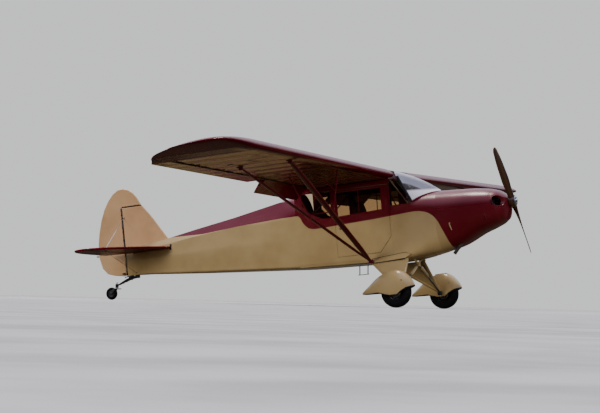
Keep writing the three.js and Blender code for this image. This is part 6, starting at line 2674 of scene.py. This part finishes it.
@dataclass
class Studio:
    """Pale floor, soft light and the camera that looks as the photograph does."""

    shop: Workshop
    azimuth: float = 25.13
    elevation: float = -2.19
    roll: float = 1.5
    scale: float = 66.78
    centre: tuple[float, float] = (313.3, 225.3)
    distance: float = 30.0
    width: float = 600.0
    tall: float = 413.0

    def build_camera(self) -> None:
        """Stands at floor level, as many metres from the cabin as the photograph's
        perspective asks, and aims so that the cabin's middle falls where it should."""
        az, el, roll = (np.radians(value) for value in (self.azimuth, self.elevation, self.roll))
        back = np.array([np.sin(az) * np.cos(el), -np.cos(az) * np.cos(el), np.sin(el)])
        level = np.array([np.cos(az), np.sin(az), 0.0])
        upright = np.cross(back, level)
        right = level * np.cos(roll) + upright * np.sin(roll)
        up = upright * np.cos(roll) - level * np.sin(roll)
        target = self.shop.stance.park(np.array([-1.5, 0.0, 0.0]))
        eye = target + back * self.distance
        across, above = self.centre[0] - self.width / 2, self.tall / 2 - self.centre[1]
        aim = target - (right * across + up * above) / self.scale
        back = unit(eye - aim)
        right = unit(right - back * (right @ back))
        up = np.cross(back, right)
        sensor = 36.0
        data = bpy.data.cameras.new("camera")
        data.sensor_fit, data.sensor_width = "HORIZONTAL", sensor
        data.lens = self.scale * self.distance / self.width * sensor
        data.clip_end = 400.0
        camera = bpy.data.objects.new("camera", data)
        camera.matrix_world = Matrix((
            (right[0], up[0], back[0], eye[0]), (right[1], up[1], back[1], eye[1]),
            (right[2], up[2], back[2], eye[2]), (0, 0, 0, 1),
        ))
        bpy.context.scene.collection.objects.link(camera)
        bpy.context.scene.camera = camera

    def build_floor(self) -> None:
        """Wide pale floor with a slow mottle."""
        half, count = 60.0, 13
        axis = np.linspace(-half, half, count)
        x, y = np.meshgrid(axis, axis, indexing="ij")
        mesh = bpy.data.meshes.new("floor")
        points = places(x, y, 0.0).reshape(-1, 3)
        mesh.from_pydata(points.tolist(), [], grid_quads(count, count)[:, ::-1].tolist())
        floor = bpy.data.objects.new("floor", mesh)
        finish = Underfoot("studio_floor", (0.6, 0.59, 0.57, 1.0), 0.8, gloss=0.1)
        mesh.materials.append(finish.build(Effects(self.shop.stance)))
        bpy.context.scene.collection.objects.link(floor)

    def lamp(self, name: str, place: Sequence[float], size: float, power: float,
             colour: tuple[float, float, float]) -> None:
        """One soft square lamp that faces the middle of the aircraft.

        Args:
            name: of the lamp.
            place: where it hangs.
            size: of its side.
            power: in watts.
            colour: of its light.
        """
        data = bpy.data.lights.new(name, "AREA")
        data.shape, data.size, data.energy, data.color = "SQUARE", size, power, colour
        lamp = bpy.data.objects.new(name, data)
        away = Vector(place) - Vector((0.0, 0.0, 1.2))
        lamp.matrix_world = Matrix.Translation(place) @ away.to_track_quat("Z", "Y").to_matrix().to_4x4()
        lamp.visible_glossy = False
        data.spread = np.radians(50)
        bpy.context.scene.collection.objects.link(lamp)

    def build(self) -> None:
        """Makes the floor, the lights, the sky and the camera."""
        self.build_floor()
        sun = bpy.data.lights.new("soft_sun", "SUN")
        sun.energy, sun.angle, sun.color = 2.6, np.radians(18), (1.0, 0.93, 0.82)
        carrier = bpy.data.objects.new("soft_sun", sun)
        carrier.matrix_world = Vector((-0.25, 0.12, 0.95)).to_track_quat("Z", "Y").to_matrix().to_4x4()
        bpy.context.scene.collection.objects.link(carrier)
        self.lamp("side_fill", (-9.0, -20.0, 3.6), 5.0, 135.0, (1.0, 0.94, 0.82))
        self.lamp("front_fill", (16.0, -9.0, 5.0), 6.0, 80.0, (1.0, 0.95, 0.9))
        self.lamp("back_light", (-9.0, 10.0, 9.0), 8.0, 300.0, (0.92, 0.96, 1.0))
        self.build_sky()
        self.build_camera()

    def build_sky(self) -> None:
        """Sky that lights from overhead, less from behind the aircraft and least from the
        side of the view: two smooth steps, of a ray's height and of its share along the
        view. Looked at straight it is plain and pale."""
        world = bpy.data.worlds.new("studio")
        world.use_nodes = True
        graph = Graph(world.node_tree)
        way = graph.node("ShaderNodeTexCoord").outputs["Generated"]
        x, y, z = graph.split(way)
        az = np.radians(self.azimuth)
        sideways = graph.math("MULTIPLY", y, -float(np.cos(az)))
        near = graph.math("MULTIPLY_ADD", x, float(np.sin(az)), sideways)
        behind = graph.ramp(z, 0.05, 0.36, 0.1, 1.15)
        before = graph.ramp(z, 0.15, 0.7, 0.05, 0.95)
        away = graph.ramp(near, -0.6, 0.0, 1.0, 0.0)
        lit = graph.blend(away, before, behind)
        seen = graph.node("ShaderNodeLightPath").outputs["Is Camera Ray"]
        sky = world.node_tree.nodes["Background"]
        blue = graph.mix(away, (0.6, 0.68, 1.0, 1.0), (0.78, 0.83, 0.98, 1.0))
        graph.feed(sky.inputs["Color"], graph.mix(seen, blue, (0.86, 0.87, 0.88, 1.0)))
        graph.feed(sky.inputs["Strength"], graph.blend(seen, lit, 0.95))
        bpy.context.scene.world = world


def main() -> None:
    """Builds the aircraft and its studio."""
    logging.basicConfig(level=logging.INFO, format="%(name)s %(message)s")
    stance = Stance.from_joints(frame["joints"])
    looks = Palette.mix(Effects(stance))
    shop = Workshop(stance, looks, frame["nodes"])
    for part in (Studio, Fuselage, Nose, Windscreen, Wing, MainGear, Empennage, TailGear, Propeller, Cabin):
        part(shop).build()
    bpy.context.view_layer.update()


if __name__ == "__main__":
    main()
